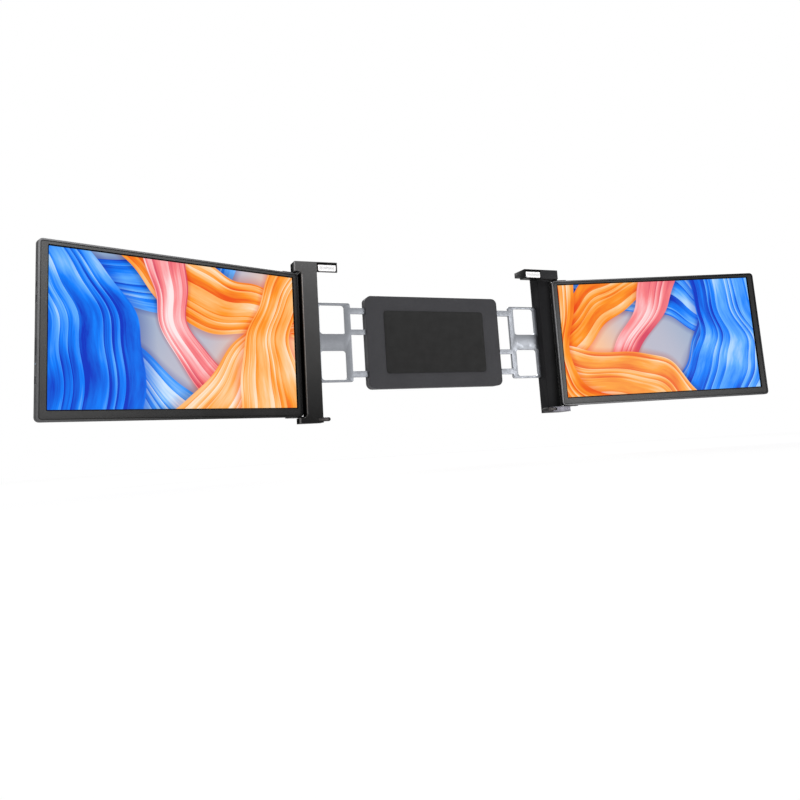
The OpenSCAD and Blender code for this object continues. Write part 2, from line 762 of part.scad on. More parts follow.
module post(side) {
    front = ears_front(side);
    color([0.25, 0.25, 0.26])
    difference() {
        union() {
            translate([0, 0, post_z0]) linear_extrude(height = post_h) column_plan();
            translate([0, 0, ear_top_z0]) linear_extrude(height = ear_top_h) ear_plan(front);
            translate([0, 0, post_z0]) linear_extrude(height = ear_bottom_h) ear_plan(front);
            notch_fillet(ear_top_z0, 1);
            notch_fillet(ear_bottom_z1, -1);
            if (side == RIGHT) back_flange();
        }
        // room inside the column, open at the back
        difference() {
            slab(cavity_x0, cavity_x1, cavity_z0, cavity_z1, cavity_y0, post_back + eps, 2);
            for (z = web_screw_z) rod_y(web_screw_x, z, web_boss_r, cavity_y0 - eps, frame_y0);
            for (z = cover_screw_z) rod_y(cover_boss_x, z, web_boss_r, cavity_y0 - eps, cover_y0);
        }
        for (z = web_screw_z) rod_y(web_screw_x, z, large_hole_r, cavity_y0 + 1, frame_y0 + eps);
        for (z = cover_screw_z) rod_y(cover_boss_x, z, small_hole_r, cavity_y0 + 3, cover_y0 + eps);
        // slot for the slide frame's web
        box(half_lid - eps, cavity_x0 + eps, frame_y0 - bar_clear, frame_y1 + bar_clear,
            -web_h / 2 - bar_clear, web_h / 2 + bar_clear);
        // hinge pin bores
        translate([axis_x, axis_y(side), ear_top_z0 - eps])
            cylinder(h = upper_pin_l - ear_gap + eps + 0.5, r = pin_d / 2 + pin_clear);
        translate([axis_x, axis_y(side), ear_bottom_z1 - (lower_pin_l - ear_gap) - 0.5])
            cylinder(h = lower_pin_l - ear_gap + eps + 0.5, r = pin_d / 2 + pin_clear);
        // pocket of the claw's tongue and the seats of its pin
        box(half_lid - eps, half_lid + tongue_l + 0.6, pocket_y0, pocket_y1,
            tongue_z0 - claw_clear, tongue_z1 + claw_clear);
        rod_y(claw_pin_x, claw_pin_z, claw_pin_d / 2 + slip, claw_pin_y0, claw_pin_y1);
        // channel of the finger and the opening that shows it
        stadium(half_lid - eps, finger_x1 + finger_travel + 0.4 + finger_clear, finger_z,
                finger_h + 2 * finger_clear, finger_front(side) - finger_clear, -lid_gap + finger_clear);
        stadium(half_lid - eps, half_lid + finger_window, finger_z, finger_h - 0.8,
                front - eps, finger_front(side));
    }
}

module post_cover() {
    color([0.22, 0.22, 0.23])
    difference() {
        slab(cavity_x0 + cover_fit, cavity_x1 - cover_fit, cavity_z0 + cover_fit, cavity_z1 - cover_fit,
             cover_y0, post_back, 1.9);
        for (z = cover_screw_z) {
            rod_y(cover_boss_x, z, small_hole_r, cover_y0 - eps, post_back + eps);
            rod_y(cover_boss_x, z, small_head_r + screw_clear, post_back - 0.8, post_back + eps);
        }
    }
}

module post_screws() {
    color([0.3, 0.3, 0.32]) {
        for (z = web_screw_z) {
            rod_y(web_screw_x, z, large_screw_d / 2, cavity_y0 + 2, frame_y1);
            rod_y(web_screw_x, z, large_head_r, frame_y1, frame_y1 + 1.2);
        }
        for (z = cover_screw_z) {
            rod_y(cover_boss_x, z, small_screw_d / 2, cavity_y0 + 4, post_back - 0.8);
            rod_y(cover_boss_x, z, small_head_r, post_back - 0.8, post_back - 0.1);
        }
    }
}

// ---------- claw and finger ----------

// outline of the pad in X and Z, let out by a gap
module pad_outline(gap) {
    x0 = pad_x0 - gap;
    x1 = pad_x1 + gap;
    z0 = pad_z0 - gap;
    z1 = pad_z0 + pad_h + gap;
    polygon([
        [x0 + pad_cut, z0], [x1 - pad_cut, z0], [x1, z0 + pad_cut],
        [x1, z1], [x0, z1], [x0, z0 + pad_cut]
    ]);
}

module claw(side) {
    front = ears_front(side);
    color([0.24, 0.24, 0.25])
    difference() {
        union() {
            // lip and arm in one outline, drawn in Y and Z
            translate([claw_x0, 0, 0]) rotate([90, 0, 90]) linear_extrude(height = claw_x1 - claw_x0)
                polygon([
                    [front, ear_top_z0], [-lid_gap, ear_top_z0], [-lid_gap, arm_z0],
                    [claw_back, arm_z0], [claw_back, claw_z1], [front, claw_z1]
                ]);
            box(claw_x1 - eps, half_lid + tongue_l, tongue_y0, tongue_y1, tongue_z0, tongue_z1);
        }
        // dish round the pad, and the pad's seat
        box(claw_x0 + dish_rim, claw_x1 + eps, front - eps, front + dish_depth,
            ear_top_z0 - eps, claw_z1 - dish_rim);
        along_y(front - eps, front + pad_t - pad_proud) pad_outline(0.1);
        // bore of the guide pin
        rod_y(claw_pin_x, claw_pin_z, claw_pin_d / 2 + pin_clear, tongue_y0 - eps, tongue_y1 + eps);
    }
}

module claw_pad(side) {
    front = ears_front(side);
    color([0.95, 0.95, 0.95])
    difference() {
        along_y(front - pad_proud, front + pad_t - pad_proud) pad_outline(0);
        // shallow field in the middle of the pad
        slab((pad_x0 + pad_x1 - pad_field_w) / 2, (pad_x0 + pad_x1 + pad_field_w) / 2,
             pad_z0 + (pad_h - pad_field_h) / 2, pad_z0 + (pad_h + pad_field_h) / 2,
             front - pad_proud - eps, front, 0.4);
    }
}

module claw_pin() {
    color([0.75, 0.75, 0.77])
    rod_y(claw_pin_x, claw_pin_z, claw_pin_d / 2, claw_pin_y0 + 0.1, claw_pin_y1 - 0.1);
}

// compression spring round the guide pin, in front of the tongue
module claw_spring() {
    sides = 6;
    steps = 14;
    y0 = pocket_y0 + 0.05 + spring_wire / 2;
    y1 = tongue_y0 - 0.05 - spring_wire / 2;
    rings = spring_turns * steps;
    w = spring_wire / 2;
    points = [for (i = [0:rings]) let (a = 360 * i / steps, y = y0 + (y1 - y0) * i / rings)
        for (k = [0:sides - 1]) let (b = 360 * k / sides, r = spring_r + w * cos(b))
            [claw_pin_x + r * cos(a), y + w * sin(b), claw_pin_z + r * sin(a)]];
    walls = [for (i = [0:rings - 1], k = [0:sides - 1])
        let (a = i * sides + k, b = i * sides + (k + 1) % sides) [a, b, b + sides, a + sides]];
    ends = [[for (k = [sides - 1:-1:0]) k], [for (k = [0:sides - 1]) rings * sides + k]];
    color([0.8, 0.8, 0.82]) polyhedron(points = points, faces = concat(walls, ends), convexity = 6);
}

module finger(side) {
    color([0.55, 0.54, 0.56])
    stadium(finger_x0 + tip_l, finger_x1, finger_z, finger_h, finger_front(side), -lid_gap);
}

module finger_tip(side) {
    r = finger_h / 2;
    color([0.06, 0.06, 0.06])
    along_y(finger_front(side), -lid_gap)
        translate([finger_x0, finger_z])
            intersection() {
                translate([0, -r]) square([tip_l, finger_h]);
                union() {
                    translate([r, 0]) circle(r = r);
                    translate([r, -r]) square([tip_l, finger_h]);
                }
            }
}

// ---------- slide frame with its rack ----------

module rack_outline() {
    pitch = PI * gear_module;
    t = tan(pressure);
    tip = tooth_half - addendum * t;
    root = tooth_half + dedendum * t;
    translate([rack_x0, rack_root_z]) square([web_x0 + 1 - rack_x0, rack_back]);
    for (k = [floor(rack_x0 / pitch) + 1 : floor(rack_teeth_x1 / pitch)])
        let (x = pitch * (k + 0.5))
            if (x - root > rack_x0)
                polygon([
                    [x - root, rack_root_z + 0.5], [x - root, rack_root_z], [x - tip, rack_tip_z],
                    [x + tip, rack_tip_z], [x + root, rack_root_z], [x + root, rack_root_z + 0.5]
                ]);
}

module slide_frame(rack_up) {
    color([0.62, 0.63, 0.65])
    difference() {
        union() {
            slab(web_x0, web_x1, -web_h / 2, web_h / 2, frame_y0, frame_y1, 3);
            for (z = [-bar_z, bar_z])
                box(bar_x0, web_x0 + 4, frame_y0, frame_y1, z - bar_h / 2, z + bar_h / 2);
            along_y(frame_y0, frame_y1) mirror([0, rack_up ? 0 : 1]) rack_outline();
        }
        // two windows that lighten the web, on each side of the rack's root
        for (k = [0, 1])
            mirror([0, 0, k])
                slab(web_window_x[0], web_window_x[1], web_window_z[0], web_window_z[1],
                     frame_y0 - eps, frame_y1 + eps, 4);
        for (z = web_screw_z) rod_y(web_screw_x, z, large_hole_r, frame_y0 - eps, frame_y1 + eps);
    }
}

// ---------- centre bracket ----------

bracket_screw_x = bracket_w / 2 - bracket_r;
bracket_screw_z = bracket_h / 2 - bracket_r;
bracket_boss_r = large_screw_d / 2 + 2;
bracket_screw_r = large_screw_d / 2 - 0.2;   // core of the screws that hold the covers together
rib_t = 1.5;
rib_x0 = bar_x0 + slide_out + 4;

module each_bracket_screw() {
    for (x = [-1, 1], z = [-1, 1]) translate([x * bracket_screw_x, 0, z * bracket_screw_z]) children();
}

module bracket_front_cover() {
    half_w = bracket_w / 2;
    half_h = bracket_h / 2;
    color([0.18, 0.18, 0.19])
    difference() {
        union() {
            difference() {
                slab(-half_w, half_w, -half_h, half_h, front_cover_y0, room_y1, bracket_r);
                slab(-half_w + bracket_wall, half_w - bracket_wall, -half_h + bracket_wall,
                     half_h - bracket_wall, front_cover_y1, room_y1 + eps, bracket_r - bracket_wall);
            }
            each_bracket_screw() rod_y(0, 0, bracket_boss_r, front_cover_y1 - eps, room_y1);
            // ribs that guide the bars
            for (x = [-1, 1], z = [-1, 1], k = [-1, 1])
                translate([x * (rib_x0 + half_w - bracket_wall) / 2, 0,
                           z * bar_z + k * (bar_h / 2 + bar_clear + rib_t / 2)])
                    box(-(half_w - bracket_wall - rib_x0) / 2 - eps / 2,
                        (half_w - bracket_wall - rib_x0) / 2 + eps / 2,
                        front_cover_y1 - eps, room_y1, -rib_t / 2, rib_t / 2);
            // boss under the pinion
            rod_y(0, 0, pinion_pin_d / 2 + 2, front_cover_y1 - eps, frame_y0 - 0.1);
        }
        each_bracket_screw()
            rod_y(0, 0, bracket_screw_r + screw_clear, front_cover_y1 + 0.4, room_y1 + eps);
        // seat of the rest pad
        slab(-rest_pad_w / 2 - 0.1, rest_pad_w / 2 + 0.1, -rest_pad_h / 2 - 0.1, rest_pad_h / 2 + 0.1,
             front_cover_y0 - eps, rest_pad_t, 4);
        // seat of the pinion's pin
        rod_y(0, 0, pinion_pin_d / 2 + slip, rest_pad_t + 0.6, frame_y0 + eps);
        // slots for the guide bars and for each arm's rack
        for (x = [-1, 1]) {
            for (z = [-bar_z, bar_z])
                translate([x * (half_w - bracket_wall / 2), 0, z])
                    box(-bracket_wall / 2 - eps, bracket_wall / 2 + eps, frame_y0 - bar_clear,
                        frame_y1 + bar_clear, -bar_h / 2 - bar_clear, bar_h / 2 + bar_clear);
            translate([x * (half_w - bracket_wall / 2), 0, -x * (rack_root_z + rack_back / 2)])
                box(-bracket_wall / 2 - eps, bracket_wall / 2 + eps, frame_y0 - bar_clear,
                    frame_y1 + bar_clear, -rack_back / 2 - bar_clear, rack_back / 2 + bar_clear);
        }
    }
}

module rest_pad() {
    color([0.12, 0.12, 0.12])
    slab(-rest_pad_w / 2, rest_pad_w / 2, -rest_pad_h / 2, rest_pad_h / 2, 0, rest_pad_t, 3.9);
}

recess_x = stand_w / 2 + stand_clear;
recess_z1 = stand_z + barrel_r + stand_clear;
recess_z0 = stand_z - stand_l - stand_clear;

module bracket_rear_cover() {
    half_w = bracket_w / 2;
    half_h = bracket_h / 2;
    color([0.2, 0.2, 0.21])
    difference() {
        union() {
            slab(-half_w, half_w, -half_h, half_h, room_y1, rear_y1, bracket_r);
            // boss behind the pinion
            rod_y(0, 0, pinion_pin_d / 2 + 2, frame_y1 + 0.1, room_y1 + eps);
        }
        // recess of the kickstand, with a dip for a fingertip at its foot
        box(-recess_x, recess_x, recess_y0, rear_y1 + eps, recess_z0, recess_z1);
        translate([0, rear_y1, recess_z0]) rotate([90, 0, 0])
            cylinder(h = 2 * (recess_depth - 1.2), r = 9, center = true);
        // seats of the kickstand's pin
        translate([-recess_x - stand_pin_grip, stand_y, stand_z]) rotate([0, 90, 0])
            cylinder(h = 2 * (recess_x + stand_pin_grip), r = stand_pin_d / 2 + slip);
        // rear seat of the pinion's pin
        rod_y(0, 0, pinion_pin_d / 2 + slip, frame_y1, room_y1 + 1);
        each_bracket_screw() {
            rod_y(0, 0, large_hole_r, room_y1 - eps, rear_y1 + eps);
            rod_y(0, 0, large_head_r + screw_clear, rear_y1 - 2, rear_y1 + eps);
        }
    }
}

module bracket_screws() {
    color([0.35, 0.35, 0.37])
    each_bracket_screw()
        difference() {
            union() {
                rod_y(0, 0, bracket_screw_r, front_cover_y1 + 0.6, rear_y1 - 2);
                rod_y(0, 0, large_head_r, rear_y1 - 2, rear_y1 - 0.2);
            }
            // hexagon socket
            translate([0, rear_y1, 0]) rotate([90, 0, 0])
                cylinder(h = 1.4, r = large_screw_d * 0.45, $fn = 6);
        }
}

// involute spur gear outline with a tooth along +Y of its own plane
module gear_outline() {
    base_r = pitch_r * cos(pressure);
    root_r = pitch_r - dedendum;
    tip_r = pitch_r + addendum;
    inv_pitch = tan(pressure) * 180 / PI - pressure;
    half_pitch = tooth_half / pitch_r * 180 / PI;
    flank_steps = 5;
    radii = [for (i = [0:flank_steps]) base_r + (tip_r - base_r) * i / flank_steps];
    function inv(r) = sqrt(max(pow(r / base_r, 2) - 1, 0)) * 180 / PI - acos(min(base_r / r, 1));
    function half(r) = half_pitch + inv_pitch - inv(r);
    polygon([for (k = [0:pinion_teeth - 1]) let (c = 90 + 360 * k / pinion_teeth)
        each concat(
            [let (a = c - half(base_r)) [root_r * cos(a), root_r * sin(a)]],
            [for (r = radii) let (a = c - half(r)) [r * cos(a), r * sin(a)]],
            [for (i = [flank_steps:-1:0]) let (r = radii[i], a = c + half(r)) [r * cos(a), r * sin(a)]],
            [let (a = c + half(base_r)) [root_r * cos(a), root_r * sin(a)]]
        )]);
}

module pinion() {
    color([0.9, 0.88, 0.8])
    difference() {
        along_y(frame_y0, frame_y1) gear_outline();
        rod_y(0, 0, pinion_pin_d / 2 + pin_clear, frame_y0 - eps, frame_y1 + eps);
    }
}

module pinion_pin() {
    color([0.75, 0.75, 0.77])
    rod_y(0, 0, pinion_pin_d / 2, rest_pad_t + 0.7, room_y1 + 0.9);
}

// ---------- kickstand ----------

module kickstand() {
    plate_z0 = stand_z - stand_l + foot_h;
    window_edge = 15;   // plate above and below the window
    color([0.28, 0.28, 0.29])
    difference() {
        union() {
            translate([-stand_w / 2, stand_y, stand_z]) rotate([0, 90, 0])
                cylinder(h = stand_w, r = barrel_r);
            box(-stand_w / 2, stand_w / 2, stand_plate_y0, stand_plate_y1, plate_z0, stand_z);
        }
        translate([-stand_w / 2 - eps, stand_y, stand_z]) rotate([0, 90, 0])
            cylinder(h = stand_w + 2 * eps, r = stand_pin_d / 2 + pin_clear);
        // window that lightens the plate
        slab(-stand_w / 4, stand_w / 4, plate_z0 + window_edge, stand_z - window_edge,
             stand_plate_y0 - eps, stand_plate_y1 + eps, 6);
    }
}

module kickstand_pin() {
    color([0.75, 0.75, 0.77])
    translate([-recess_x - stand_pin_grip + 0.2, stand_y, stand_z]) rotate([0, 90, 0])
        cylinder(h = 2 * (recess_x + stand_pin_grip - 0.2), r = stand_pin_d / 2);
}

module kickstand_foot() {
    color([0.08, 0.08, 0.08])
    slab(-foot_w / 2, foot_w / 2, stand_z - stand_l, stand_z - stand_l + foot_h,
         stand_plate_y0, stand_plate_y1, 1);
}

// ---------- nodes ----------

module left_post() { on_side(LEFT) post(LEFT); }
module left_post_cover() { on_side(LEFT) post_cover(); }
module left_post_screws() { on_side(LEFT) post_screws(); }
module left_slide_frame() { on_side(LEFT) slide_frame(true); }
module left_claw() { on_side(LEFT) claw(LEFT); }
module left_claw_pad() { on_side(LEFT) claw_pad(LEFT); }
module left_claw_pin() { on_side(LEFT) claw_pin(); }
module left_claw_spring() { on_side(LEFT) claw_spring(); }
module left_finger() { on_side(LEFT) finger(LEFT); }
module left_finger_tip() { on_side(LEFT) finger_tip(LEFT); }
module left_rear_shell() { in_panel(LEFT) rear_shell(); }
module left_front_bezel() { in_panel(LEFT) front_bezel(); }
module left_display_cell() { in_panel(LEFT) display_cell(); }
module left_backlight() { in_panel(LEFT) backlight(); }
module left_controller_board() { in_panel(LEFT) controller_board(); }
module left_usb_ports() { in_panel(LEFT) usb_ports(); }
module left_power_button() { in_panel(LEFT) power_button(); }
module left_rocker() { in_panel(LEFT) rocker(); }
module left_status_light() { in_panel(LEFT) status_light(); }
module left_upper_hinge_plate() { in_panel(LEFT) upper_hinge_plate(); }
module left_lower_hinge_plate() { in_panel(LEFT) lower_hinge_plate(); }
module left_hinge_screws() { in_panel(LEFT) hinge_screws(); }
module left_panel_screws() { in_panel(LEFT) panel_screws(); }
module right_post() { on_side(RIGHT) post(RIGHT); }
module right_post_cover() { on_side(RIGHT) post_cover(); }
module right_post_screws() { on_side(RIGHT) post_screws(); }
module right_slide_frame() { on_side(RIGHT) slide_frame(false); }
module right_claw() { on_side(RIGHT) claw(RIGHT); }
module right_claw_pad() { on_side(RIGHT) claw_pad(RIGHT); }
module right_claw_pin() { on_side(RIGHT) claw_pin(); }
module right_claw_spring() { on_side(RIGHT) claw_spring(); }
module right_finger() { on_side(RIGHT) finger(RIGHT); }
module right_finger_tip() { on_side(RIGHT) finger_tip(RIGHT); }
module right_rear_shell() { in_panel(RIGHT) rear_shell(); }
module right_front_bezel() { in_panel(RIGHT) front_bezel(); }
module right_display_cell() { in_panel(RIGHT) display_cell(); }
module right_backlight() { in_panel(RIGHT) backlight(); }
module right_controller_board() { in_panel(RIGHT) controller_board(); }
module right_usb_ports() { in_panel(RIGHT) usb_ports(); }
module right_power_button() { in_panel(RIGHT) power_button(); }
module right_rocker() { in_panel(RIGHT) rocker(); }
module right_status_light() { in_panel(RIGHT) status_light(); }
module right_upper_hinge_plate() { in_panel(RIGHT) upper_hinge_plate(); }
module right_lower_hinge_plate() { in_panel(RIGHT) lower_hinge_plate(); }
module right_hinge_screws() { in_panel(RIGHT) hinge_screws(); }
module right_panel_screws() { in_panel(RIGHT) panel_screws(); }

bracket_front_cover();
bracket_rear_cover();
rest_pad();
bracket_screws();
pinion();
pinion_pin();
kickstand();
kickstand_pin();
kickstand_foot();
left_post();
left_post_cover();
left_post_screws();
left_slide_frame();
left_claw();
left_claw_pad();
left_claw_pin();
left_claw_spring();
left_finger();
left_finger_tip();
left_rear_shell();
left_front_bezel();
left_display_cell();
left_backlight();
left_controller_board();
left_usb_ports();
left_power_button();
left_rocker();
left_status_light();
left_upper_hinge_plate();
left_lower_hinge_plate();
left_hinge_screws();
left_panel_screws();
right_post();
right_post_cover();
right_post_screws();
right_slide_frame();
right_claw();
right_claw_pad();
right_claw_pin();
right_claw_spring();
right_finger();
right_finger_tip();
right_rear_shell();
right_front_bezel();
right_display_cell();
right_backlight();
right_controller_board();
right_usb_ports();
right_power_button();
right_rocker();
right_status_light();
right_upper_hinge_plate();
right_lower_hinge_plate();
right_hinge_screws();
right_panel_screws();
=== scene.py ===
"""Finishes, lit displays and studio for a folding two-screen extender."""

import json
import math

import bmesh
import bpy
from mathutils import Matrix, Vector

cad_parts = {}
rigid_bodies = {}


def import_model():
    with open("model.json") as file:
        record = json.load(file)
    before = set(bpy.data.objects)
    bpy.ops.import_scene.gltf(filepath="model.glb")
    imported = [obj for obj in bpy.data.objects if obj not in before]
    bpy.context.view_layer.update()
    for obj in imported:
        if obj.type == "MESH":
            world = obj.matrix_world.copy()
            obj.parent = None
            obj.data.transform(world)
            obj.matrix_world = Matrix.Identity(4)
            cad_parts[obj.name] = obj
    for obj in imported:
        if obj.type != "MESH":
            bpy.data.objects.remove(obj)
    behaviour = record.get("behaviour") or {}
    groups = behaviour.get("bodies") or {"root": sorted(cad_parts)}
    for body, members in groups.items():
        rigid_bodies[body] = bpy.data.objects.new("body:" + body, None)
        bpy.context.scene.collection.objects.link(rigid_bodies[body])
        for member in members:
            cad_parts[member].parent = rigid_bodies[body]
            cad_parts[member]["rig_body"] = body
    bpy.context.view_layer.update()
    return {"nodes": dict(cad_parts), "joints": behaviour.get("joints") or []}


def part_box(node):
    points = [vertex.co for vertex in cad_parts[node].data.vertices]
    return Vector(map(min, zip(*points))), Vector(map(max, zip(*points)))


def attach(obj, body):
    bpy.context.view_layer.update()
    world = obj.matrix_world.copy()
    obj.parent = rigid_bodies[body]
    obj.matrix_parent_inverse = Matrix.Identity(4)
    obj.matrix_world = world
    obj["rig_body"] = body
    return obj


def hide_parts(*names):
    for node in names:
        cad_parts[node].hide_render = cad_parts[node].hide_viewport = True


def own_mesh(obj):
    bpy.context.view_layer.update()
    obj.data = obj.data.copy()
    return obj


bl_info = {
    "name": "Laptop Screen Extender",
    "version": (1, 0, 0),
    "blender": (4, 5, 0),
    "location": "3D View > Sidebar > Extender",
    "description": "Finishes a folding two-screen laptop extender and lights it",
    "category": "Object",
}

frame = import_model()
NODES = frame["nodes"]
JOINTS = {joint["name"]: joint for joint in frame["joints"]}
SIDES = ("left", "right")

# roundings of the small pieces' edges, in metres
FINE_EDGE = 0.0001
BUTTON_EDGE = 0.00012
SMALL_EDGE = 0.0002
COVER_EDGE = 0.0003
BROAD_EDGE = 0.0004

# depths of moulded textures, in metres
SATIN = 0.000012
MATT = 0.000016
COARSE = 0.00003
SILICONE = 0.000004

# distances that tell the faces of a piece apart, in metres
RIM_DEPTH = 0.001
TONGUE_HALF = 0.0006
COLUMN_INSET = 0.0061
STEP_DEPTH = 0.006
SEAT_FRONT, SEAT_BACK, SEAT_INSET = 0.0003, 0.0013, 0.0006
FIELD_FRONT, FIELD_BACK = 0.0002, 0.0005

# lengths of the painted fades that run backwards from a painted highlight at a front edge into painted shade,
# in metres
EAR_FADE = 0.010
GAP_FADE = 0.005

# the painted shade on the right column: where it starts, inwards from the hinge and above the middle,
# and how far it reaches outwards and downwards, in metres
SHADE_INSET, SHADE_TOP, SHADE_REACH, SHADE_DROP = 0.0144, 0.06, 0.0095, 0.25

# angles between two faces: joined below the first, smooth below the second, softened above the third
FLAT, SMOOTH, SHARP = math.radians(0.3), math.radians(32.0), math.radians(35.0)

# how white the floor glows near the part, and the distances between which it turns wholly white
NEARLY_WHITE = 0.84
WHITE_AFTER, WHITE_FROM = 0.4, 2.0

TRACKS_PER_METRE = 180.0

# name, place, target, size and power of each lamp
LAMPS = (
    ("lamp_upper_left", (-0.95, -0.85, 0.85), (-0.25, 0.0, 0.05), (0.7, 0.5), 9.0),
    ("lamp_above", (0.0, 0.0, 1.1), (0.0, 0.0, 0.0), (1.3, 0.6), 6.0),
    ("lamp_lower_right", (0.75, -0.95, -0.02), (0.35, 0.0, -0.08), (0.7, 0.2), 4.5),
    ("lamp_behind", (0.35, 1.15, 0.7), (0.0, 0.0, 0.0), (0.9, 0.6), 16.0),
)


# ---------- places on the screen units ----------


def outward(side):
    return -1.0 if side == "left" else 1.0


def hinge_axis(side):
    return Vector(JOINTS[f"{side}_screen_hinge"]["pos_m"])


def swing(side):
    """Angle in radians that a screen stands forward of flat."""
    return -math.radians(JOINTS[f"{side}_screen_hinge"]["range_deg"][0])


def to_screen(side):
    """Matrix from the part's frame to a screen's own: X outwards from its hinge, Y backwards, Z up."""
    axis = hinge_axis(side)
    flip = Matrix.Diagonal((outward(side), 1.0, 1.0, 1.0))
    shift = Matrix.Translation((-abs(axis.x), -axis.y, 0.0))
    return Matrix.Rotation(swing(side), 4, "Z") @ shift @ flip


def screen_box(side, node):
    """Lowest and highest corner of a node in its screen's own frame."""
    matrix = to_screen(side)
    points = [matrix @ v.co for v in NODES[node].data.vertices]
    low = Vector([min(p[i] for p in points) for i in range(3)])
    high = Vector([max(p[i] for p in points) for i in range(3)])
    return low, high


# ---------- settings ----------


def length(name, text, default, low=0.0, high=1.0):
    return bpy.props.FloatProperty(
        name=name, description=text, default=default, min=low, max=high,
        subtype="DISTANCE", unit="LENGTH", precision=5)


def share(name, text, default, high=1.0):
    return bpy.props.FloatProperty(
        name=name, description=text, default=default, min=0.0, max=high, subtype="FACTOR")


def tint(name, text, default):
    return bpy.props.FloatVectorProperty(
        name=name, description=text, default=default, size=3, min=0.0, max=1.0,
        subtype="COLOR_GAMMA")


class ExtenderBodyFinish(bpy.types.PropertyGroup):
    """Colours and edges of the moulded and metal pieces"""

    # painted light and shade: the left post is painted light at its top and dark at its foot, and the left
    # claw takes its top colour
    post_tint: tint("Posts", "Colour of the left post's top", (0.335, 0.335, 0.335))
    post_foot_painted_shade: tint("Post feet", "Colour of the left post's foot", (0.095, 0.095, 0.095))
    # painted shade: the right column is painted darker than the left post, and darker still outwards and
    # towards its foot
    far_column_painted_shade: tint("Right column", "Colour of the right post's column", (0.12, 0.12, 0.125))
    far_post_foot_painted_shade: tint("Right column shade", "Colour of its shaded side", (0.012, 0.012, 0.014))
    foot_steel: tint("Right foot", "Colour of the metal step at the right foot", (0.40, 0.395, 0.42))
    # painted shade in the hinge gaps, with a painted highlight at their front edge; the window walls and the
    # pad seats take the same painted shade
    gap_painted_shade: tint("Gaps", "Colour of the faces that look into the hinge gaps", (0.02, 0.02, 0.02))
    gap_edge_painted_highlight: tint("Gap edges", "Colour of those faces at their front edge", (0.37, 0.37, 0.37))
    # painted shade on the left ears' outer sides, with a painted highlight at their front edge
    ear_side_painted_shade: tint("Ear sides", "Colour of the left upper ear's outer side", (0.12, 0.12, 0.12))
    foot_side_painted_shade: tint("Foot side", "Colour of the left lower ear's outer side", (0.03, 0.03, 0.03))
    ear_side_painted_highlight: tint("Ear side edges", "Colour of those sides at their front edge", (0.46, 0.46, 0.46))
    # painted highlights on the left post's softened edges, dimmer towards the foot
    edge_painted_highlight: tint("Left edges", "Colour of the left post's softened edges", (0.60, 0.60, 0.60))
    edge_foot_painted_highlight: tint("Left foot edges", "Colour of those edges at the foot", (0.28, 0.28, 0.28))
    # painted highlights on the right post's edges and painted shade on its ears, both darker than on the left
    # post
    far_edge_painted_highlight: tint("Right edges", "Colour of the right post's softened edges", (0.24, 0.24, 0.25))
    far_edge_foot_painted_highlight: tint("Right foot edges", "Colour of those edges at the foot", (0.10, 0.10, 0.11))
    far_ear_painted_shade: tint("Right ears", "Colour of the right post's ears", (0.165, 0.165, 0.17))
    # painted shade: the right claw is painted darker than the left one
    far_claw_painted_shade: tint("Right claw", "Colour of the right claw", (0.075, 0.075, 0.078))
    cover_tint: tint("Covers", "Colour of the bracket and the post covers", (0.24, 0.24, 0.25))
    # painted shade: the shells' side walls are painted darker than their backs
    shell_tint: tint("Shells", "Colour of the rear shells' side walls", (0.20, 0.20, 0.205))
    back_tint: tint("Backs", "Colour of the rear shells' backs", (0.27, 0.27, 0.28))
    # painted highlight on the rims at their lit corner, fading into painted shade
    rim_painted_highlight: tint("Rims", "Colour of the shells' rims at their bright corner", (0.50, 0.50, 0.505))
    rim_shade: tint("Rim shade", "Colour of the left rim's dark corner", (0.10, 0.10, 0.10))
    far_rim_shade: tint("Right rim shade", "Colour of the right rim's dark corner", (0.05, 0.05, 0.05))
    # painted light on the bezels at their bright corner, fading into painted shade
    bezel_painted_light: tint("Bezels", "Colour of the bezels' bright corners", (0.36, 0.36, 0.36))
    bezel_shade: tint("Bezel shade", "Colour of the bezels' dark corners", (0.15, 0.15, 0.15))
    button_tint: tint("Buttons", "Colour of the buttons and rockers", (0.12, 0.12, 0.13))
    tongue_tint: tint("Port tongues", "Colour of the tongues in the ports", (0.06, 0.06, 0.07))
    light_tint: tint("Lights", "Colour of the status light pipes", (0.55, 0.75, 0.95))
    light_core: tint("Light cores", "Colour of their bright spots", (0.80, 0.92, 1.0))
    pad_tint: tint("Claw pads", "Colour of the pads in the claws", (0.96, 0.96, 0.96))
    field_tint: tint("Pad fields", "Colour of the field in each pad", (0.85, 0.85, 0.85))
    rubber_tint: tint("Rubber", "Colour of the rubber pieces", (0.09, 0.09, 0.09))
    finger_tint: tint("Fingers", "Colour of the sliding fingers", (0.22, 0.21, 0.21))
    slide_tint: tint("Slides", "Colour of the anodised slide frames", (0.50, 0.51, 0.53))
    steel_tint: tint("Steel", "Colour of pins and ports", (0.66, 0.66, 0.68))
    black_steel: tint("Black steel", "Colour of the blackened hinge plates", (0.08, 0.08, 0.08))
    leaf_tint: tint("Hinge leaves", "Colour of the hinge plates' painted leaves", (0.30, 0.30, 0.30))
    screw_tint: tint("Screws", "Colour of the blackened screws", (0.17, 0.17, 0.18))
    gear_tint: tint("Pinion", "Colour of the moulded pinion", (0.86, 0.84, 0.77))
    board_tint: tint("Boards", "Colour of the boards' solder mask", (0.06, 0.30, 0.17))
    foil_tint: tint("Foil", "Colour of the backlights' foil", (0.80, 0.80, 0.82))
    knuckle: length("Knuckle", "Bare part of a hinge plate, from its axis", 0.003, 0.0, 0.01)
    edge_width: length("Edge", "Rounding of the posts' edges", 0.0008, 0.0, 0.001)
    grain: length("Grain", "Size of the moulded texture's grain", 0.0007, 0.0001, 0.003)


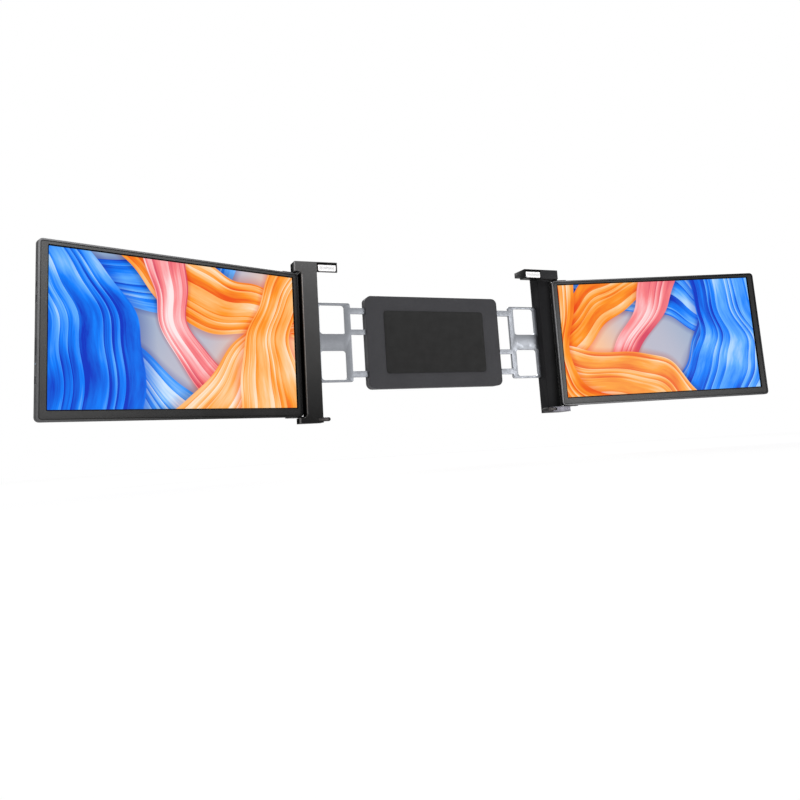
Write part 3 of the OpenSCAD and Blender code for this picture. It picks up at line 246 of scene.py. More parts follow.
class ExtenderDisplayLook(bpy.types.PropertyGroup):
    """The lit picture on the two displays"""

    lit_width: length("Lit width", "Width of the lit area", 0.2938, 0.2, 0.4)
    lit_height: length("Lit height", "Height of the lit area", 0.1652, 0.1, 0.3)
    glow: share("Glow", "Strength of the lit picture, where 1 is white", 1.0, 1.5)
    warm: tint("Warm", "Colour of the ribbons beside the hinge", (1.0, 0.60, 0.14))
    warm_shade: tint("Warm shade", "Colour of their folds", (0.94, 0.33, 0.04))
    rose: tint("Rose", "Colour of the ribbons in the middle", (0.98, 0.42, 0.44))
    rose_shade: tint("Rose shade", "Colour of their folds", (0.82, 0.16, 0.28))
    blue: tint("Blue", "Colour of the ribbons on the free side", (0.0, 0.50, 1.0))
    blue_shade: tint("Blue shade", "Colour of their folds", (0.0, 0.20, 0.76))
    haze: tint("Haze", "Colour of the ground on the free side", (0.58, 0.68, 0.80))
    middle_ground: tint("Middle ground", "Colour of the ground in the middle", (0.74, 0.74, 0.80))
    glow_ground: tint("Warm ground", "Colour of the ground beside the hinge", (1.0, 0.78, 0.60))
    sway: share("Sway", "How far the ribbons are bent out of shape", 0.20)
    nearer: share("Nearer", "How far the right picture lies towards its hinge, in widths", 0.10)


class ExtenderStudio(bpy.types.PropertyGroup):
    """Camera, floor and lamps"""

    camera_place: bpy.props.FloatVectorProperty(
        name="Camera place", description="Where the camera stands",
        default=(-0.44344, -0.89615, -0.14231), subtype="TRANSLATION", unit="LENGTH")
    camera_turn: bpy.props.FloatVectorProperty(
        name="Camera turn", description="How the camera is turned",
        default=(1.724863, 0.062070, -0.400960), subtype="EULER", unit="ROTATION")
    focal: bpy.props.FloatProperty(
        name="Focal length", description="The camera's focal length",
        default=33.192, min=10.0, max=200.0, unit="CAMERA")
    shift_x: bpy.props.FloatProperty(
        name="Shift X", description="Sideways shift of the view", default=-0.0002)
    shift_y: bpy.props.FloatProperty(
        name="Shift Y", description="Upward shift of the view", default=-0.0813)
    floor_drop: length("Floor drop", "Depth of the floor below the middle of the posts", 0.165)
    floor_half: length("Floor", "Half the width of the floor", 12.0, 1.0, 30.0)
    paper_tint: tint("Paper", "Colour of the floor's paper", (0.97, 0.97, 0.97))
    paper_shade: tint("Paper shade", "Colour of its darker blots", (0.94, 0.94, 0.94))
    lamp_level: share("Lamps", "Level of all lamps", 1.0, 2.0)
    sky_level: share("Sky", "Level of the light from all round", 0.42, 2.0)


# ---------- finishes ----------


def linear(colour):
    """A screen colour as the linear values that shaders take, with alpha."""
    return tuple(c / 12.92 if c <= 0.04045 else ((c + 0.055) / 1.055) ** 2.4
                 for c in colour) + (1.0,)


def toned(colour, factor):
    return tuple(min(1.0, c * factor) for c in colour)


class Tree:
    """A node tree and short names for putting nodes into it."""

    def __init__(self, tree):
        self.tree = tree

    def node(self, kind, **settings):
        made = self.tree.nodes.new(kind)
        for key, value in settings.items():
            setattr(made, key, value)
        return made

    def link(self, start, end):
        self.tree.links.new(start, end)

    def put(self, value, socket):
        """Sets a socket to a plain value, or links another node's socket to it."""
        if isinstance(value, bpy.types.NodeSocket):
            self.link(value, socket)
        else:
            socket.default_value = value

    def fed(self, made, values):
        """A node with the values put into its first sockets."""
        for value, socket in zip(values, made.inputs):
            self.put(value, socket)
        return made

    def maths(self, operation, *values, clamp=False):
        made = self.node("ShaderNodeMath", operation=operation, use_clamp=clamp)
        return self.fed(made, values).outputs["Value"]

    def vectors(self, operation, *values):
        made = self.node("ShaderNodeVectorMath", operation=operation)
        result = "Value" if operation in ("LENGTH", "DOT_PRODUCT") else "Vector"
        return self.fed(made, values).outputs[result]

    def combined(self, *values):
        return self.fed(self.node("ShaderNodeCombineXYZ"), values).outputs["Vector"]

    def split(self, place):
        return self.fed(self.node("ShaderNodeSeparateXYZ"), (place,)).outputs

    def between(self, value, low, high, from_low=0.0, from_high=1.0):
        """A value from low to high for one from from_low to from_high."""
        made = self.node("ShaderNodeMapRange")
        self.link(value, made.inputs["Value"])
        for name, number in (("From Min", from_low), ("From Max", from_high),
                             ("To Min", low), ("To Max", high)):
            made.inputs[name].default_value = number
        return made.outputs["Result"]

    def seen_rays(self):
        """1 for rays from the camera and for those that metal and glass send on."""
        path = self.node("ShaderNodeLightPath")
        seen = self.maths("ADD", path.outputs["Is Camera Ray"], path.outputs["Is Glossy Ray"], clamp=True)
        return self.maths("ADD", seen, path.outputs["Is Transmission Ray"], clamp=True)


class Finish(Tree):
    """A new material and the textures that go into it."""

    def __init__(self, name):
        self.material = bpy.data.materials.new(name)
        self.material.use_nodes = True
        super().__init__(self.material.node_tree)
        self.shader = self.tree.nodes["Principled BSDF"]
        self.places = self.node("ShaderNodeTexCoord").outputs["Object"]

    def surface(self, **values):
        """Puts values into the shader's sockets, such as Base_Color."""
        for key, value in values.items():
            self.put(value, self.shader.inputs[key.replace("_", " ")])

    def noise(self, size, detail=3.0, rough=0.55, places=None):
        """Noise whose blots are about size metres wide."""
        made = self.node("ShaderNodeTexNoise")
        for name, number in (("Scale", 1.0 / size), ("Detail", detail), ("Roughness", rough)):
            made.inputs[name].default_value = number
        self.link(places or self.places, made.inputs["Vector"])
        return made.outputs["Fac"]

    def mapped(self, places, vector_type="POINT", **values):
        made = self.node("ShaderNodeMapping", vector_type=vector_type)
        self.link(places, made.inputs["Vector"])
        for name, value in values.items():
            made.inputs[name].default_value = value
        return made.outputs["Vector"]

    def ramp(self, value, stops, smooth=False):
        made = self.node("ShaderNodeValToRGB")
        made.color_ramp.interpolation = "EASE" if smooth else "LINEAR"
        steps = made.color_ramp.elements
        while len(steps) < len(stops):
            steps.new(0.5)
        for step, (place, colour) in zip(steps, stops):
            step.position = place
            step.color = colour
        self.link(value, made.inputs["Fac"])
        return made.outputs["Color"]

    def uneven(self, value, colour, spread, top=0.7):
        """The colour, by the share spread darker where the value is low and lighter where it is high."""
        low, high = linear(toned(colour, 1 - spread)), linear(toned(colour, 1 + spread))
        return self.ramp(value, [(0.3, low), (top, high)])

    def about(self, value, middle, reach):
        """A number that strays from its middle value by up to reach."""
        return self.between(value, middle - reach, middle + reach, 0.3, 0.7)

    def travelled(self, start, end):
        """How far a place lies on the way from start, where it is 0, to end, where it is 1."""
        way = Vector(end) - Vector(start)
        offset = self.vectors("SUBTRACT", self.places, start)
        along = self.vectors("DOT_PRODUCT", offset, way / way.length_squared)
        return self.between(along, 0.0, 1.0)

    def mixed(self, factor, first, second, blend="MIX"):
        made = self.node("ShaderNodeMix", data_type="RGBA", blend_type=blend)
        for name, kind, value in (("Factor", "VALUE", factor), ("A", "RGBA", first), ("B", "RGBA", second)):
            self.put(value, next(s for s in made.inputs if s.name == name and s.type == kind))
        return next(s for s in made.outputs if s.type == "RGBA")

    def bumped(self, height, distance, strength=0.5):
        made = self.node("ShaderNodeBump")
        made.inputs["Strength"].default_value = strength
        made.inputs["Distance"].default_value = distance
        self.link(height, made.inputs["Height"])
        self.surface(Normal=made.outputs["Normal"])


def leaning(start, across, up):
    """Start and end of a fade that is done after across metres sideways or after up metres upwards."""
    slope = Vector((1.0 / across, 0.0, 1.0 / up))
    return start, start + slope / slope.length_squared


def backwards(front, depth):
    """Start and end of a fade that runs backwards from a front edge."""
    return (0.0, front, 0.0), (0.0, front + depth, 0.0)


def moulded(name, colour, grain, roughness=0.5, depth=0.00002, level=0.06, spread=0.05, fade=None):
    """Plastic with a fine moulded texture, faintly uneven in colour and gloss.

    A fade is a second colour with the place where the first is whole and the place where the second is.
    """
    finish = Finish(name)
    cloud = finish.maths("MULTIPLY", finish.noise(0.045, 2.0), 0.6)
    speck = finish.maths("MULTIPLY", finish.noise(grain * 1.6, 2.0), 0.4)
    tone = finish.maths("ADD", cloud, speck)
    tinted = finish.uneven(tone, colour, spread)
    if fade:
        other, start, end = fade
        tinted = finish.mixed(finish.travelled(start, end), tinted, finish.uneven(tone, other, spread))
    finish.surface(Base_Color=tinted, Specular_IOR_Level=level,
                   Roughness=finish.about(finish.noise(0.02), roughness, 0.07))
    finish.bumped(finish.noise(grain, 2.0, 0.6), depth)
    return finish.material


def metal(name, colour, roughness=0.32, brush=(1.0, 1.0, 1.0)):
    """Metal whose fine scratches run along the axis with the smallest brush value."""
    finish = Finish(name)
    lines = finish.noise(0.0011, 3.0, 0.6, finish.mapped(finish.places, Scale=brush))
    tone = finish.ramp(lines, [(0.25, linear(toned(colour, 0.90))), (0.75, linear(toned(colour, 1.08)))])
    gloss = finish.between(finish.noise(0.006), roughness - 0.08, roughness + 0.10, 0.3, 0.7)
    finish.surface(Base_Color=tone, Metallic=1.0, Roughness=gloss)
    finish.bumped(lines, 0.000008)
    return finish.material


def rubber(name, colour, grain=0.0009, roughness=0.8, depth=COARSE, spread=0.09):
    """Matt rubber or silicone with a soft, dusty bloom."""
    finish = Finish(name)
    bloom = finish.noise(0.012, 4.0)
    finish.surface(Base_Color=finish.uneven(bloom, colour, spread, 0.75), Specular_IOR_Level=0.3,
                   Roughness=finish.about(bloom, roughness, 0.08), Sheen_Weight=0.05)
    finish.bumped(finish.noise(grain, 2.0), depth)
    return finish.material


def placed(name, data):
    """A new object in the scene."""
    made = bpy.data.objects.new(name, data)
    bpy.context.scene.collection.objects.link(made)
    return made


def dress(node, material):
    """Puts a finish on a CAD piece that keeps its own mesh."""
    piece = NODES[node]
    piece.data.materials.clear()
    piece.data.materials.append(material)
    return piece


def eased_copy(node, material, width, edge_material=None):
    """A copy of a CAD piece with joined faces and softened outer edges, which takes its place.

    The softened edges get a finish of their own where one is given.
    """
    source = NODES[node]
    bm = bmesh.new()
    bm.from_mesh(source.data)
    bmesh.ops.remove_doubles(bm, verts=bm.verts, dist=2e-6)
    bmesh.ops.dissolve_degenerate(bm, edges=bm.edges, dist=1e-6)
    bmesh.ops.dissolve_limit(bm, angle_limit=FLAT, use_dissolve_boundaries=False,
                             verts=bm.verts, edges=bm.edges)
    bmesh.ops.recalc_face_normals(bm, faces=bm.faces)
    if width > 0:
        outer = [e for e in bm.edges if e.is_manifold and e.is_convex
                 and e.calc_face_angle(0.0) > SHARP]
        made = bmesh.ops.bevel(bm, geom=outer, offset=width, offset_type="OFFSET", segments=2,
                               profile=0.5, affect="EDGES", clamp_overlap=True, material=-1,
                               miter_outer="SHARP", miter_inner="SHARP", loop_slide=True)
        for face in made["faces"] if edge_material else ():
            face.material_index = 1
    bmesh.ops.triangulate(bm, faces=[f for f in bm.faces if len(f.verts) > 4])
    for face in bm.faces:
        face.smooth = True
    for edge in bm.edges:
        edge.smooth = edge.is_manifold and edge.calc_face_angle(0.0) < SMOOTH
    mesh = bpy.data.meshes.new(node + "_finished")
    bm.to_mesh(mesh)
    bm.free()
    mesh.materials.append(material)
    if edge_material:
        mesh.materials.append(edge_material)
    piece = placed(node + "_finished", mesh)
    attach(piece, source["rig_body"])
    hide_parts(node)
    return piece


def face_material(piece, material, chosen):
    """Gives the faces that chosen(centre, normal) picks a second finish."""
    piece.data.materials.append(material)
    index = len(piece.data.materials) - 1
    for polygon in piece.data.polygons:
        if chosen(polygon.center, polygon.normal):
            polygon.material_index = index


# ---------- operators ----------


class EXTENDER_OT_studio(bpy.types.Operator):
    """Sets up the camera, a pale floor, a white backdrop and soft lamps"""

    bl_idname = "extender.studio"
    bl_label = "Studio"

    def execute(self, context):
        studio = context.scene.extender_studio
        self.add_camera(context, studio)
        self.add_floor(studio)
        self.set_world(context, studio)
        for name, place, target, size, power in LAMPS:
            self.add_lamp(name, place, target, size, power * studio.lamp_level)
        context.scene.view_settings.view_transform = "Standard"
        return {"FINISHED"}

    def add_camera(self, context, studio):
        camera = placed("studio_camera", bpy.data.cameras.new("studio_camera"))
        camera.location = studio.camera_place
        camera.rotation_euler = studio.camera_turn
        camera.data.sensor_width = 36.0
        camera.data.lens = studio.focal
        camera.data.shift_x = studio.shift_x
        camera.data.shift_y = studio.shift_y
        camera.data.clip_start = 0.01
        camera.data.clip_end = 60.0
        context.scene.camera = camera

    def add_floor(self, studio):
        bm = bmesh.new()
        bmesh.ops.create_grid(bm, x_segments=4, y_segments=4, size=studio.floor_half)
        bmesh.ops.translate(bm, verts=bm.verts, vec=(0.0, 0.0, -studio.floor_drop))
        mesh = bpy.data.meshes.new("studio_floor")
        bm.to_mesh(mesh)
        bm.free()
        mesh.materials.append(self.white_paper(studio))
        floor = placed("studio_floor", mesh)

    def white_paper(self, studio):
        """Matt paper that turns wholly white far away, so that the floor's end doesn't show."""
        paper = Finish("studio_paper")
        tone = paper.ramp(paper.noise(0.4), [(0.3, linear(studio.paper_shade)),
                                             (0.7, linear(studio.paper_tint))])
        paper.surface(Base_Color=tone, Roughness=0.9, Specular_IOR_Level=0.1)
        glow = paper.node("ShaderNodeEmission")
        away = paper.vectors("LENGTH", paper.places)
        white = paper.between(away, NEARLY_WHITE, 1.0, WHITE_AFTER, WHITE_FROM)
        share_of_glow = paper.maths("MULTIPLY", paper.seen_rays(), white)
        joined = paper.fed(paper.node("ShaderNodeMixShader"), (
            share_of_glow, paper.shader.outputs["BSDF"], glow.outputs["Emission"]))
        paper.link(joined.outputs["Shader"], paper.tree.nodes["Material Output"].inputs["Surface"])
        return paper.material

    def set_world(self, context, studio):
        """White where it is seen, and weaker as a light from all round."""
        world = bpy.data.worlds.new("studio_world")
        context.scene.world = world
        world.use_nodes = True
        sky = Tree(world.node_tree)
        ground = sky.tree.nodes["Background"]
        ground.inputs["Color"].default_value = (1.0, 1.0, 1.0, 1.0)
        sky.link(sky.between(sky.seen_rays(), studio.sky_level, 1.0), ground.inputs["Strength"])

    def add_lamp(self, name, place, target, size, power):
        data = bpy.data.lights.new(name, "AREA")
        data.shape = "RECTANGLE"
        data.size, data.size_y = size
        data.energy = power
        lamp = placed(name, data)
        lamp.location = place
        lamp.rotation_euler = (Vector(target) - Vector(place)).to_track_quat("-Z", "Y").to_euler()


class EXTENDER_OT_screen_housings(bpy.types.Operator):
    """Finishes the rear shells and the front bezels"""

    bl_idname = "extender.screen_housings"
    bl_label = "Screen Housings"

    def execute(self, context):
        body = context.scene.extender_body
        # painted shade on the side walls, which are painted darker than the backs
        shell = moulded("shell_plastic", body.shell_tint, body.grain, 0.42, SATIN, 0.08)
        back = moulded("shell_back_plastic", body.back_tint, body.grain * 1.3, 0.45, COARSE, 0.2)
        # painted shade: the walls round each window are painted black
        lip = moulded("window_wall_painted_shade", body.gap_painted_shade, body.grain, 0.7, level=0.0)
        for side in SIDES:
            # painted light and shade: the left bezel is painted brightest at its outer top corner, the right
            # one at its inner foot, and each fades into a painted shade
            low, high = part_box(f"{side}_front_bezel")
            wide, tall = high.x - low.x, high.z - low.z
            if side == "left":
                way = leaning(Vector((low.x, 0.0, high.z)), 1.4 * wide, -1.7 * tall)
                rim_way, rim_shade = way, body.rim_shade
            else:
                way = leaning(Vector((low.x, 0.0, low.z)), 1.25 * wide, 2.0 * tall)
                rim_way = leaning(Vector((low.x, 0.0, low.z)), 1.2 * wide, 4.0 * tall)
                rim_shade = body.far_rim_shade
            rim = moulded(f"{side}_rim_painted_light_and_shade", body.rim_painted_highlight, body.grain, 0.35, SATIN,
                          fade=(rim_shade, *rim_way))
            bezel = moulded(f"{side}_bezel_painted_light_and_shade", body.bezel_painted_light, body.grain, 0.48, MATT,
                            fade=(body.bezel_shade, *way))
            self.add_shell(side, shell, rim, back)
            self.add_bezel(side, bezel, lip)
        return {"FINISHED"}

    def add_shell(self, side, plastic, rim, back):
        shell = eased_copy(f"{side}_rear_shell", plastic, 0.0)
        to_own = to_screen(side)
        rim_depth = screen_box(side, f"{side}_rear_shell")[0].y + RIM_DEPTH
        # the rims carry a painted highlight that fades into painted shade
        face_material(shell, rim, lambda centre, normal: (
            (to_own @ centre).y < rim_depth and (to_own.to_3x3() @ normal).y < -0.3))
        face_material(shell, back, lambda centre, normal: (to_own.to_3x3() @ normal).y > 0.3)

    def add_bezel(self, side, plastic, lip):
        """The bezel, with a painted shade, black, on the wall round its window."""
        bezel = eased_copy(f"{side}_front_bezel", plastic, BROAD_EDGE)
        to_own = to_screen(side)
        low, high = screen_box(side, f"{side}_display_cell")

        def in_window(centre, normal):
            place = to_own @ centre
            flat = abs((to_own.to_3x3() @ normal).y) > 0.98
            return low.x < place.x < high.x and low.z < place.z < high.z and not flat
        face_material(bezel, lip, in_window)


class EXTENDER_OT_displays(bpy.types.Operator):
    """Lights the displays with a picture of silk ribbons"""

    bl_idname = "extender.displays"
    bl_label = "Displays"

    def execute(self, context):
        look = context.scene.extender_display
        for number, side in enumerate(SIDES):
            dress(f"{side}_display_cell", self.picture(side, look, number))
        return {"FINISHED"}

    def picture(self, side, look, number):
        finish = Finish(f"{side}_lit_display")
        low, high = screen_box(side, f"{side}_display_cell")
        middle = (low + high) / 2
        # places on the glass: X from the hinge outwards, 0 to 1, and Z up from the middle, in widths
        start = Vector((middle.x - look.lit_width / 2, low.y, middle.z))
        on_glass = finish.mapped(finish.places, Location=to_screen(side).to_translation() - start,
                                 Rotation=(0.0, 0.0, swing(side)), Scale=(outward(side), 1.0, 1.0))
        across, depth, up = finish.split(finish.vectors("MULTIPLY", on_glass, (1.0 / look.lit_width,) * 3))
        lit = self.lit_area(finish, across, depth, up, look)
        picture = finish.mixed(lit, (0.0, 0.0, 0.0, 1.0), self.silks(finish, look, across, up, number))
        finish.surface(Base_Color=(0.004, 0.004, 0.005, 1.0), Specular_IOR_Level=0.05,
                       Roughness=finish.about(finish.noise(0.0006, 2.0), 0.39, 0.05),
                       Emission_Color=picture, Emission_Strength=look.glow)
        return finish.material

    def lit_area(self, finish, across, depth, up, look):
        """1 inside the lit rectangle of the front face and 0 round it."""
        beside = finish.maths("ABSOLUTE", finish.maths("SUBTRACT", across, 0.5))
        inside = finish.maths("LESS_THAN", beside, 0.5)
        low = finish.maths("LESS_THAN", finish.maths("ABSOLUTE", up), look.lit_height / look.lit_width / 2)
        front = finish.maths("LESS_THAN", depth, 0.001)
        return finish.maths("MULTIPLY", finish.maths("MULTIPLY", inside, low), front)

    def silks(self, finish, look, across, up, number):
        """Silk ribbons on a soft ground: blue on the free side, warm by the hinge, rose between."""
        nearer = look.nearer * number
        flat = finish.combined(finish.maths("SUBTRACT", across, 0.5 - nearer), up)
        glass = self.swayed(finish, flat, look.sway, 3.0 + number)
        slope = finish.maths("ADD", across, finish.maths("MULTIPLY", up, 0.5))
        picture = finish.ramp(slope, [(0.10, linear(look.glow_ground)), (0.45, linear(look.middle_ground)),
                                      (0.80, linear(look.haze))], True)
        silks = {"warm": (look.warm, look.warm_shade), "rose": (look.rose, look.rose_shade),
                 "blue": (look.blue, look.blue_shade)}
        # a ribbon's silk, its middle, its heading in degrees, its width and its folds, from the lowest up
        ribbons = (("blue", (0.24, 0.17), 150, 0.28, 5), ("blue", (0.25, -0.18), 34, 0.26, 5),
                   ("warm", (-0.20, 0.17), 24, 0.26, 5), ("rose", (0.02, 0.10), 62, 0.19, 4),
                   ("blue", (0.42 + 0.6 * nearer, 0.0), 80, 0.48 + 1.6 * nearer, 8 + 2 * number),
                   ("warm", (-0.18, -0.16), -36, 0.26, 6),
                   ("warm", (-0.42, 0.02), 104, 0.38, 7))
        for place, (silk, middle, heading, width, folds) in enumerate(ribbons):
            # every second ribbon is a paler one
            tones = self.silk_tones(*silks[silk], 0.16 * (place % 2))
            start = 1.9 * place + 3.7 * number
            turn = heading + number * 8.0
            picture = self.ribbon(finish, glass, picture, tones, middle, turn, width, folds, start)
        return picture

    def silk_tones(self, colour, shade, lift):
        """The tones of a silk from its deepest shade to its glint."""
        def paler(tone, share_of_white):
            return linear(tuple(c + (1.0 - c) * share_of_white for c in tone))
        return paler(shade, lift), paler(colour, lift), paler(colour, 0.38 + lift), paler(colour, 0.70 + lift)

    def swayed(self, finish, glass, sway, start):
        """Places on the glass, pushed about by slow noise so that straight lines bend."""
        swirl = finish.node("ShaderNodeTexNoise")
        swirl.inputs["Scale"].default_value = 2.0
        swirl.inputs["Detail"].default_value = 0.0
        # at another height over the glass the noise has another pattern
        finish.link(finish.vectors("ADD", glass, (0.0, 0.0, start)), swirl.inputs["Vector"])
        centred = finish.vectors("SUBTRACT", swirl.outputs["Color"], (0.5, 0.5, 0.5))
        return finish.vectors("MULTIPLY_ADD", centred, (sway, sway, 0.0), glass)

    def ribbon(self, finish, glass, below, tones, middle, heading, width, folds, start):
        """One ribbon over the picture below it, bent and pinched along its way, with crisp folds."""
        along, beside, _lift = finish.split(finish.mapped(
            glass, "TEXTURE", Location=(*middle, 0.0), Rotation=(0.0, 0.0, math.radians(heading))))
        slow = finish.maths("MULTIPLY", self.wave(finish, along, 7.0, start), 0.05)
        quick = finish.maths("MULTIPLY", self.wave(finish, along, 26.0, start), 0.006)
        bend = finish.maths("ADD", slow, quick)
        pinch = self.wave(finish, along, 5.0, 2.0 * start)
        half = finish.between(pinch, 0.26 * width, 0.50 * width, -1.0, 1.0)
        # from -1 at one edge of the ribbon to 1 at the other
        place = finish.maths("DIVIDE", finish.maths("SUBTRACT", beside, bend), half)
        edge = finish.maths("ABSOLUTE", place)
        even = finish.maths("MULTIPLY", finish.maths("ADD", place, 1.0), folds / 2)
        # some folds are broad and some narrow
        uneven = finish.maths("MULTIPLY", self.wave(finish, even, 1.9, start), 0.42)
        silk = self.silk(finish, tones, finish.maths("ADD", even, uneven), along, start)
        # the ribbon casts a soft shade on the picture round it
        shade = finish.between(edge, 0.45, 0.0, 1.0, 1.25)
        shaded = finish.mixed(shade, below, tones[0], "MULTIPLY")
        inside = finish.between(edge, 1.0, 0.0, 0.985, 1.0)
        return finish.mixed(inside, shaded, silk)

    def wave(self, finish, along, turns, start):
        return finish.maths("SINE", finish.maths("ADD", finish.maths("MULTIPLY", along, turns), start))

    def silk(self, finish, tones, counted, along, start):
        """Colour of a ribbon: threads, a deep and a light side of each fold, and slow swells of light."""
        place = finish.maths("FRACT", counted)
        dice = finish.node("ShaderNodeTexWhiteNoise", noise_dimensions="1D")
        finish.link(finish.maths("ADD", finish.maths("FLOOR", counted), start), dice.inputs["W"])
        chance = dice.outputs["Value"]
        threads = finish.noise(1.0, 4.0, 0.6, finish.combined(
            finish.maths("MULTIPLY", counted, 5.0), finish.maths("MULTIPLY", along, 5.0), start))
        swell = finish.noise(1.0, 1.0, 0.5, finish.combined(
            finish.maths("MULTIPLY", along, 4.0), finish.maths("MULTIPLY", counted, 0.35), start))
        # each fold is more or less deep
        shine = finish.maths("MULTIPLY", place, finish.between(chance, 0.30, 0.72))
        for part in (finish.between(threads, -0.22, 0.22, 0.25, 0.75),
                     finish.between(chance, 0.10, -0.10),
                     finish.between(swell, -0.18, 0.62, 0.25, 0.75)):
            shine = finish.maths("ADD", shine, part)
        return finish.ramp(shine, list(zip((0.05, 0.44, 0.74, 1.0), tones)))


class EXTENDER_OT_edge_controls(bpy.types.Operator):
    """Finishes ports, buttons and status lights on the free edges"""

    bl_idname = "extender.edge_controls"
    bl_label = "Edge Controls"

    def execute(self, context):
        body = context.scene.extender_body
        steel = metal("port_steel", body.steel_tint, 0.28, (1.0, 0.1, 1.0))
        tongue = moulded("port_tongue", body.tongue_tint, 0.0004)
        button = moulded("button_plastic", body.button_tint, 0.0004, 0.3, 0.000006, 0.5)
        for side in SIDES:
            ports = dress(f"{side}_usb_ports", steel)
            low, high = screen_box(side, f"{side}_usb_ports")
            matrix = to_screen(side)
            middle = (low.y + high.y) / 2
            face_material(ports, tongue, lambda centre, normal: (
                abs((matrix @ centre).y - middle) < TONGUE_HALF
                and (matrix @ centre).x < high.x - TONGUE_HALF))
            eased_copy(f"{side}_power_button", button, BUTTON_EDGE)
            eased_copy(f"{side}_rocker", button, BUTTON_EDGE)
            dress(f"{side}_status_light", self.light_pipe(side, body))
        return {"FINISHED"}

    def light_pipe(self, side, body):
        finish = Finish(f"{side}_light_pipe")
        tone = finish.ramp(finish.noise(0.0012, 1.0), [(0.3, linear(body.light_tint)),
                                                       (0.7, linear(body.light_core))])
        finish.surface(Base_Color=tone, Roughness=0.2, Coat_Weight=0.3)
        return finish.material


class EXTENDER_OT_hinges(bpy.types.Operator):
    """Finishes the hinge plates with their pins, and the small screws"""

    bl_idname = "extender.hinges"
    bl_label = "Hinges"

    def execute(self, context):
        body = context.scene.extender_body
        steel = metal("hinge_steel", body.black_steel, 0.45, (0.15, 1.0, 1.0))
        leaf = moulded("hinge_leaf_paint", body.leaf_tint, body.grain)
        screw = metal("small_screw_steel", body.screw_tint, 0.35)
        hinge_screw = metal("hinge_screw_steel", body.black_steel, 0.4)
        for side in SIDES:
            to_own = to_screen(side)
            for end in ("upper", "lower"):
                plate = eased_copy(f"{side}_{end}_hinge_plate", steel, FINE_EDGE)
                face_material(plate, leaf, lambda centre, normal: (to_own @ centre).x > body.knuckle)
            dress(f"{side}_hinge_screws", hinge_screw)
            dress(f"{side}_panel_screws", screw)
        return {"FINISHED"}


class EXTENDER_OT_posts(bpy.types.Operator):
    """Finishes the posts, their back covers and their screws"""

    bl_idname = "extender.posts"
    bl_label = "Posts"

    def execute(self, context):
        body = context.scene.extender_body
        cover = moulded("post_cover_plastic", body.cover_tint, body.grain)
        screw = metal("large_screw_steel", body.screw_tint, 0.35)
        for side, front in (("left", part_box("left_post")[0].y), ("right", 0.0)):
            gap = moulded(f"{side}_gap_painted_light_and_shade", body.gap_edge_painted_highlight, body.grain, 0.7, level=0.0,
                          fade=(body.gap_painted_shade, *backwards(front, GAP_FADE)))
            # painted shade: the faces that look into the gap beside the screen are painted black between the
            # ears, behind a painted highlight at their front edge
            low, high = screen_box(side, f"{side}_rear_shell")
            column = abs(hinge_axis(side).x) - COLUMN_INSET
            if side == "left":
                post = self.add_left_post(body, front)
            else:
                post = self.add_right_post(body, low.z, high.z)
            face_material(post, gap, lambda centre, normal: (
                abs(centre.x) > column and low.z < centre.z < high.z and normal.y < 0.5))
            eased_copy(f"{side}_post_cover", cover, COVER_EDGE)
            dress(f"{side}_post_screws", screw)
        return {"FINISHED"}

    def painted_shade_to_foot(self, name, tint_above, tint_below, body, level=0.04):
        """Plastic with a painted shade that grows darker towards the foot of the posts."""
        low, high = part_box("left_post")
        return moulded(name, tint_above, body.grain, 0.45, MATT, level,
                       fade=(tint_below, (0.0, 0.0, high.z), (0.0, 0.0, low.z)))

    def add_left_post(self, body, front):
        # painted light at the top of the left post, fading to a painted shade at its foot
        plastic = self.painted_shade_to_foot("left_post_painted_light_and_shade", body.post_tint, body.post_foot_painted_shade, body)
        # its softened edges carry a painted highlight
        edge = self.painted_shade_to_foot("left_post_painted_highlight", body.edge_painted_highlight, body.edge_foot_painted_highlight, body, 0.3)
        post = eased_copy("left_post", plastic, body.edge_width, edge)
        # painted highlight and shade: the ears' outer sides are painted light at their front edge and grow
        # darker behind it
        for end, way_up, tone in (("upper", 1.0, body.ear_side_painted_shade), ("lower", -1.0, body.foot_side_painted_shade)):
            ear_side = moulded(f"{end}_ear_side_painted_light_and_shade", body.ear_side_painted_highlight, body.grain, level=0.0,
                               fade=(tone, *backwards(front, EAR_FADE)))
            face_material(post, ear_side, lambda centre, normal: (
                normal.x < -0.95 and centre.z * way_up > 0.0))
        # painted highlight on the rounded outer corners of the ears and the column
        face_material(post, edge, lambda centre, normal: -0.95 <= normal.x < -0.3 and normal.y < -0.2)
        return post

    def add_right_post(self, body, ear_foot, ear_head):
        """The right post, painted darker than the left one, with a painted shade on its column where its
        screen would shade it.
        """
        axis = hinge_axis("right")
        # painted highlights on the right post's edges, and painted shade on its ears
        edge = self.painted_shade_to_foot("right_post_painted_highlight", body.far_edge_painted_highlight, body.far_edge_foot_painted_highlight, body, 0.1)
        ears = moulded("right_ear_painted_shade", body.far_ear_painted_shade, body.grain, 0.45, MATT)
        post = eased_copy("right_post", ears, body.edge_width, edge)
        # painted shade across the right column, darkest on its outer side and towards the foot
        way = leaning(Vector((axis.x - SHADE_INSET, 0.0, SHADE_TOP)), SHADE_REACH, -SHADE_DROP)
        column = moulded("right_column_painted_shade", body.far_column_painted_shade, body.grain, 0.45, MATT, 0.02,
                         fade=(body.far_post_foot_painted_shade, *way))
        face_material(post, column, lambda centre, normal: ear_foot < centre.z < ear_head)
        foot = metal("foot_steel", body.foot_steel, 0.5, (0.1, 1.0, 1.0))
        face_material(post, foot, lambda centre, normal: (
            centre.y < axis.y + STEP_DEPTH and centre.z < ear_foot))
        return post


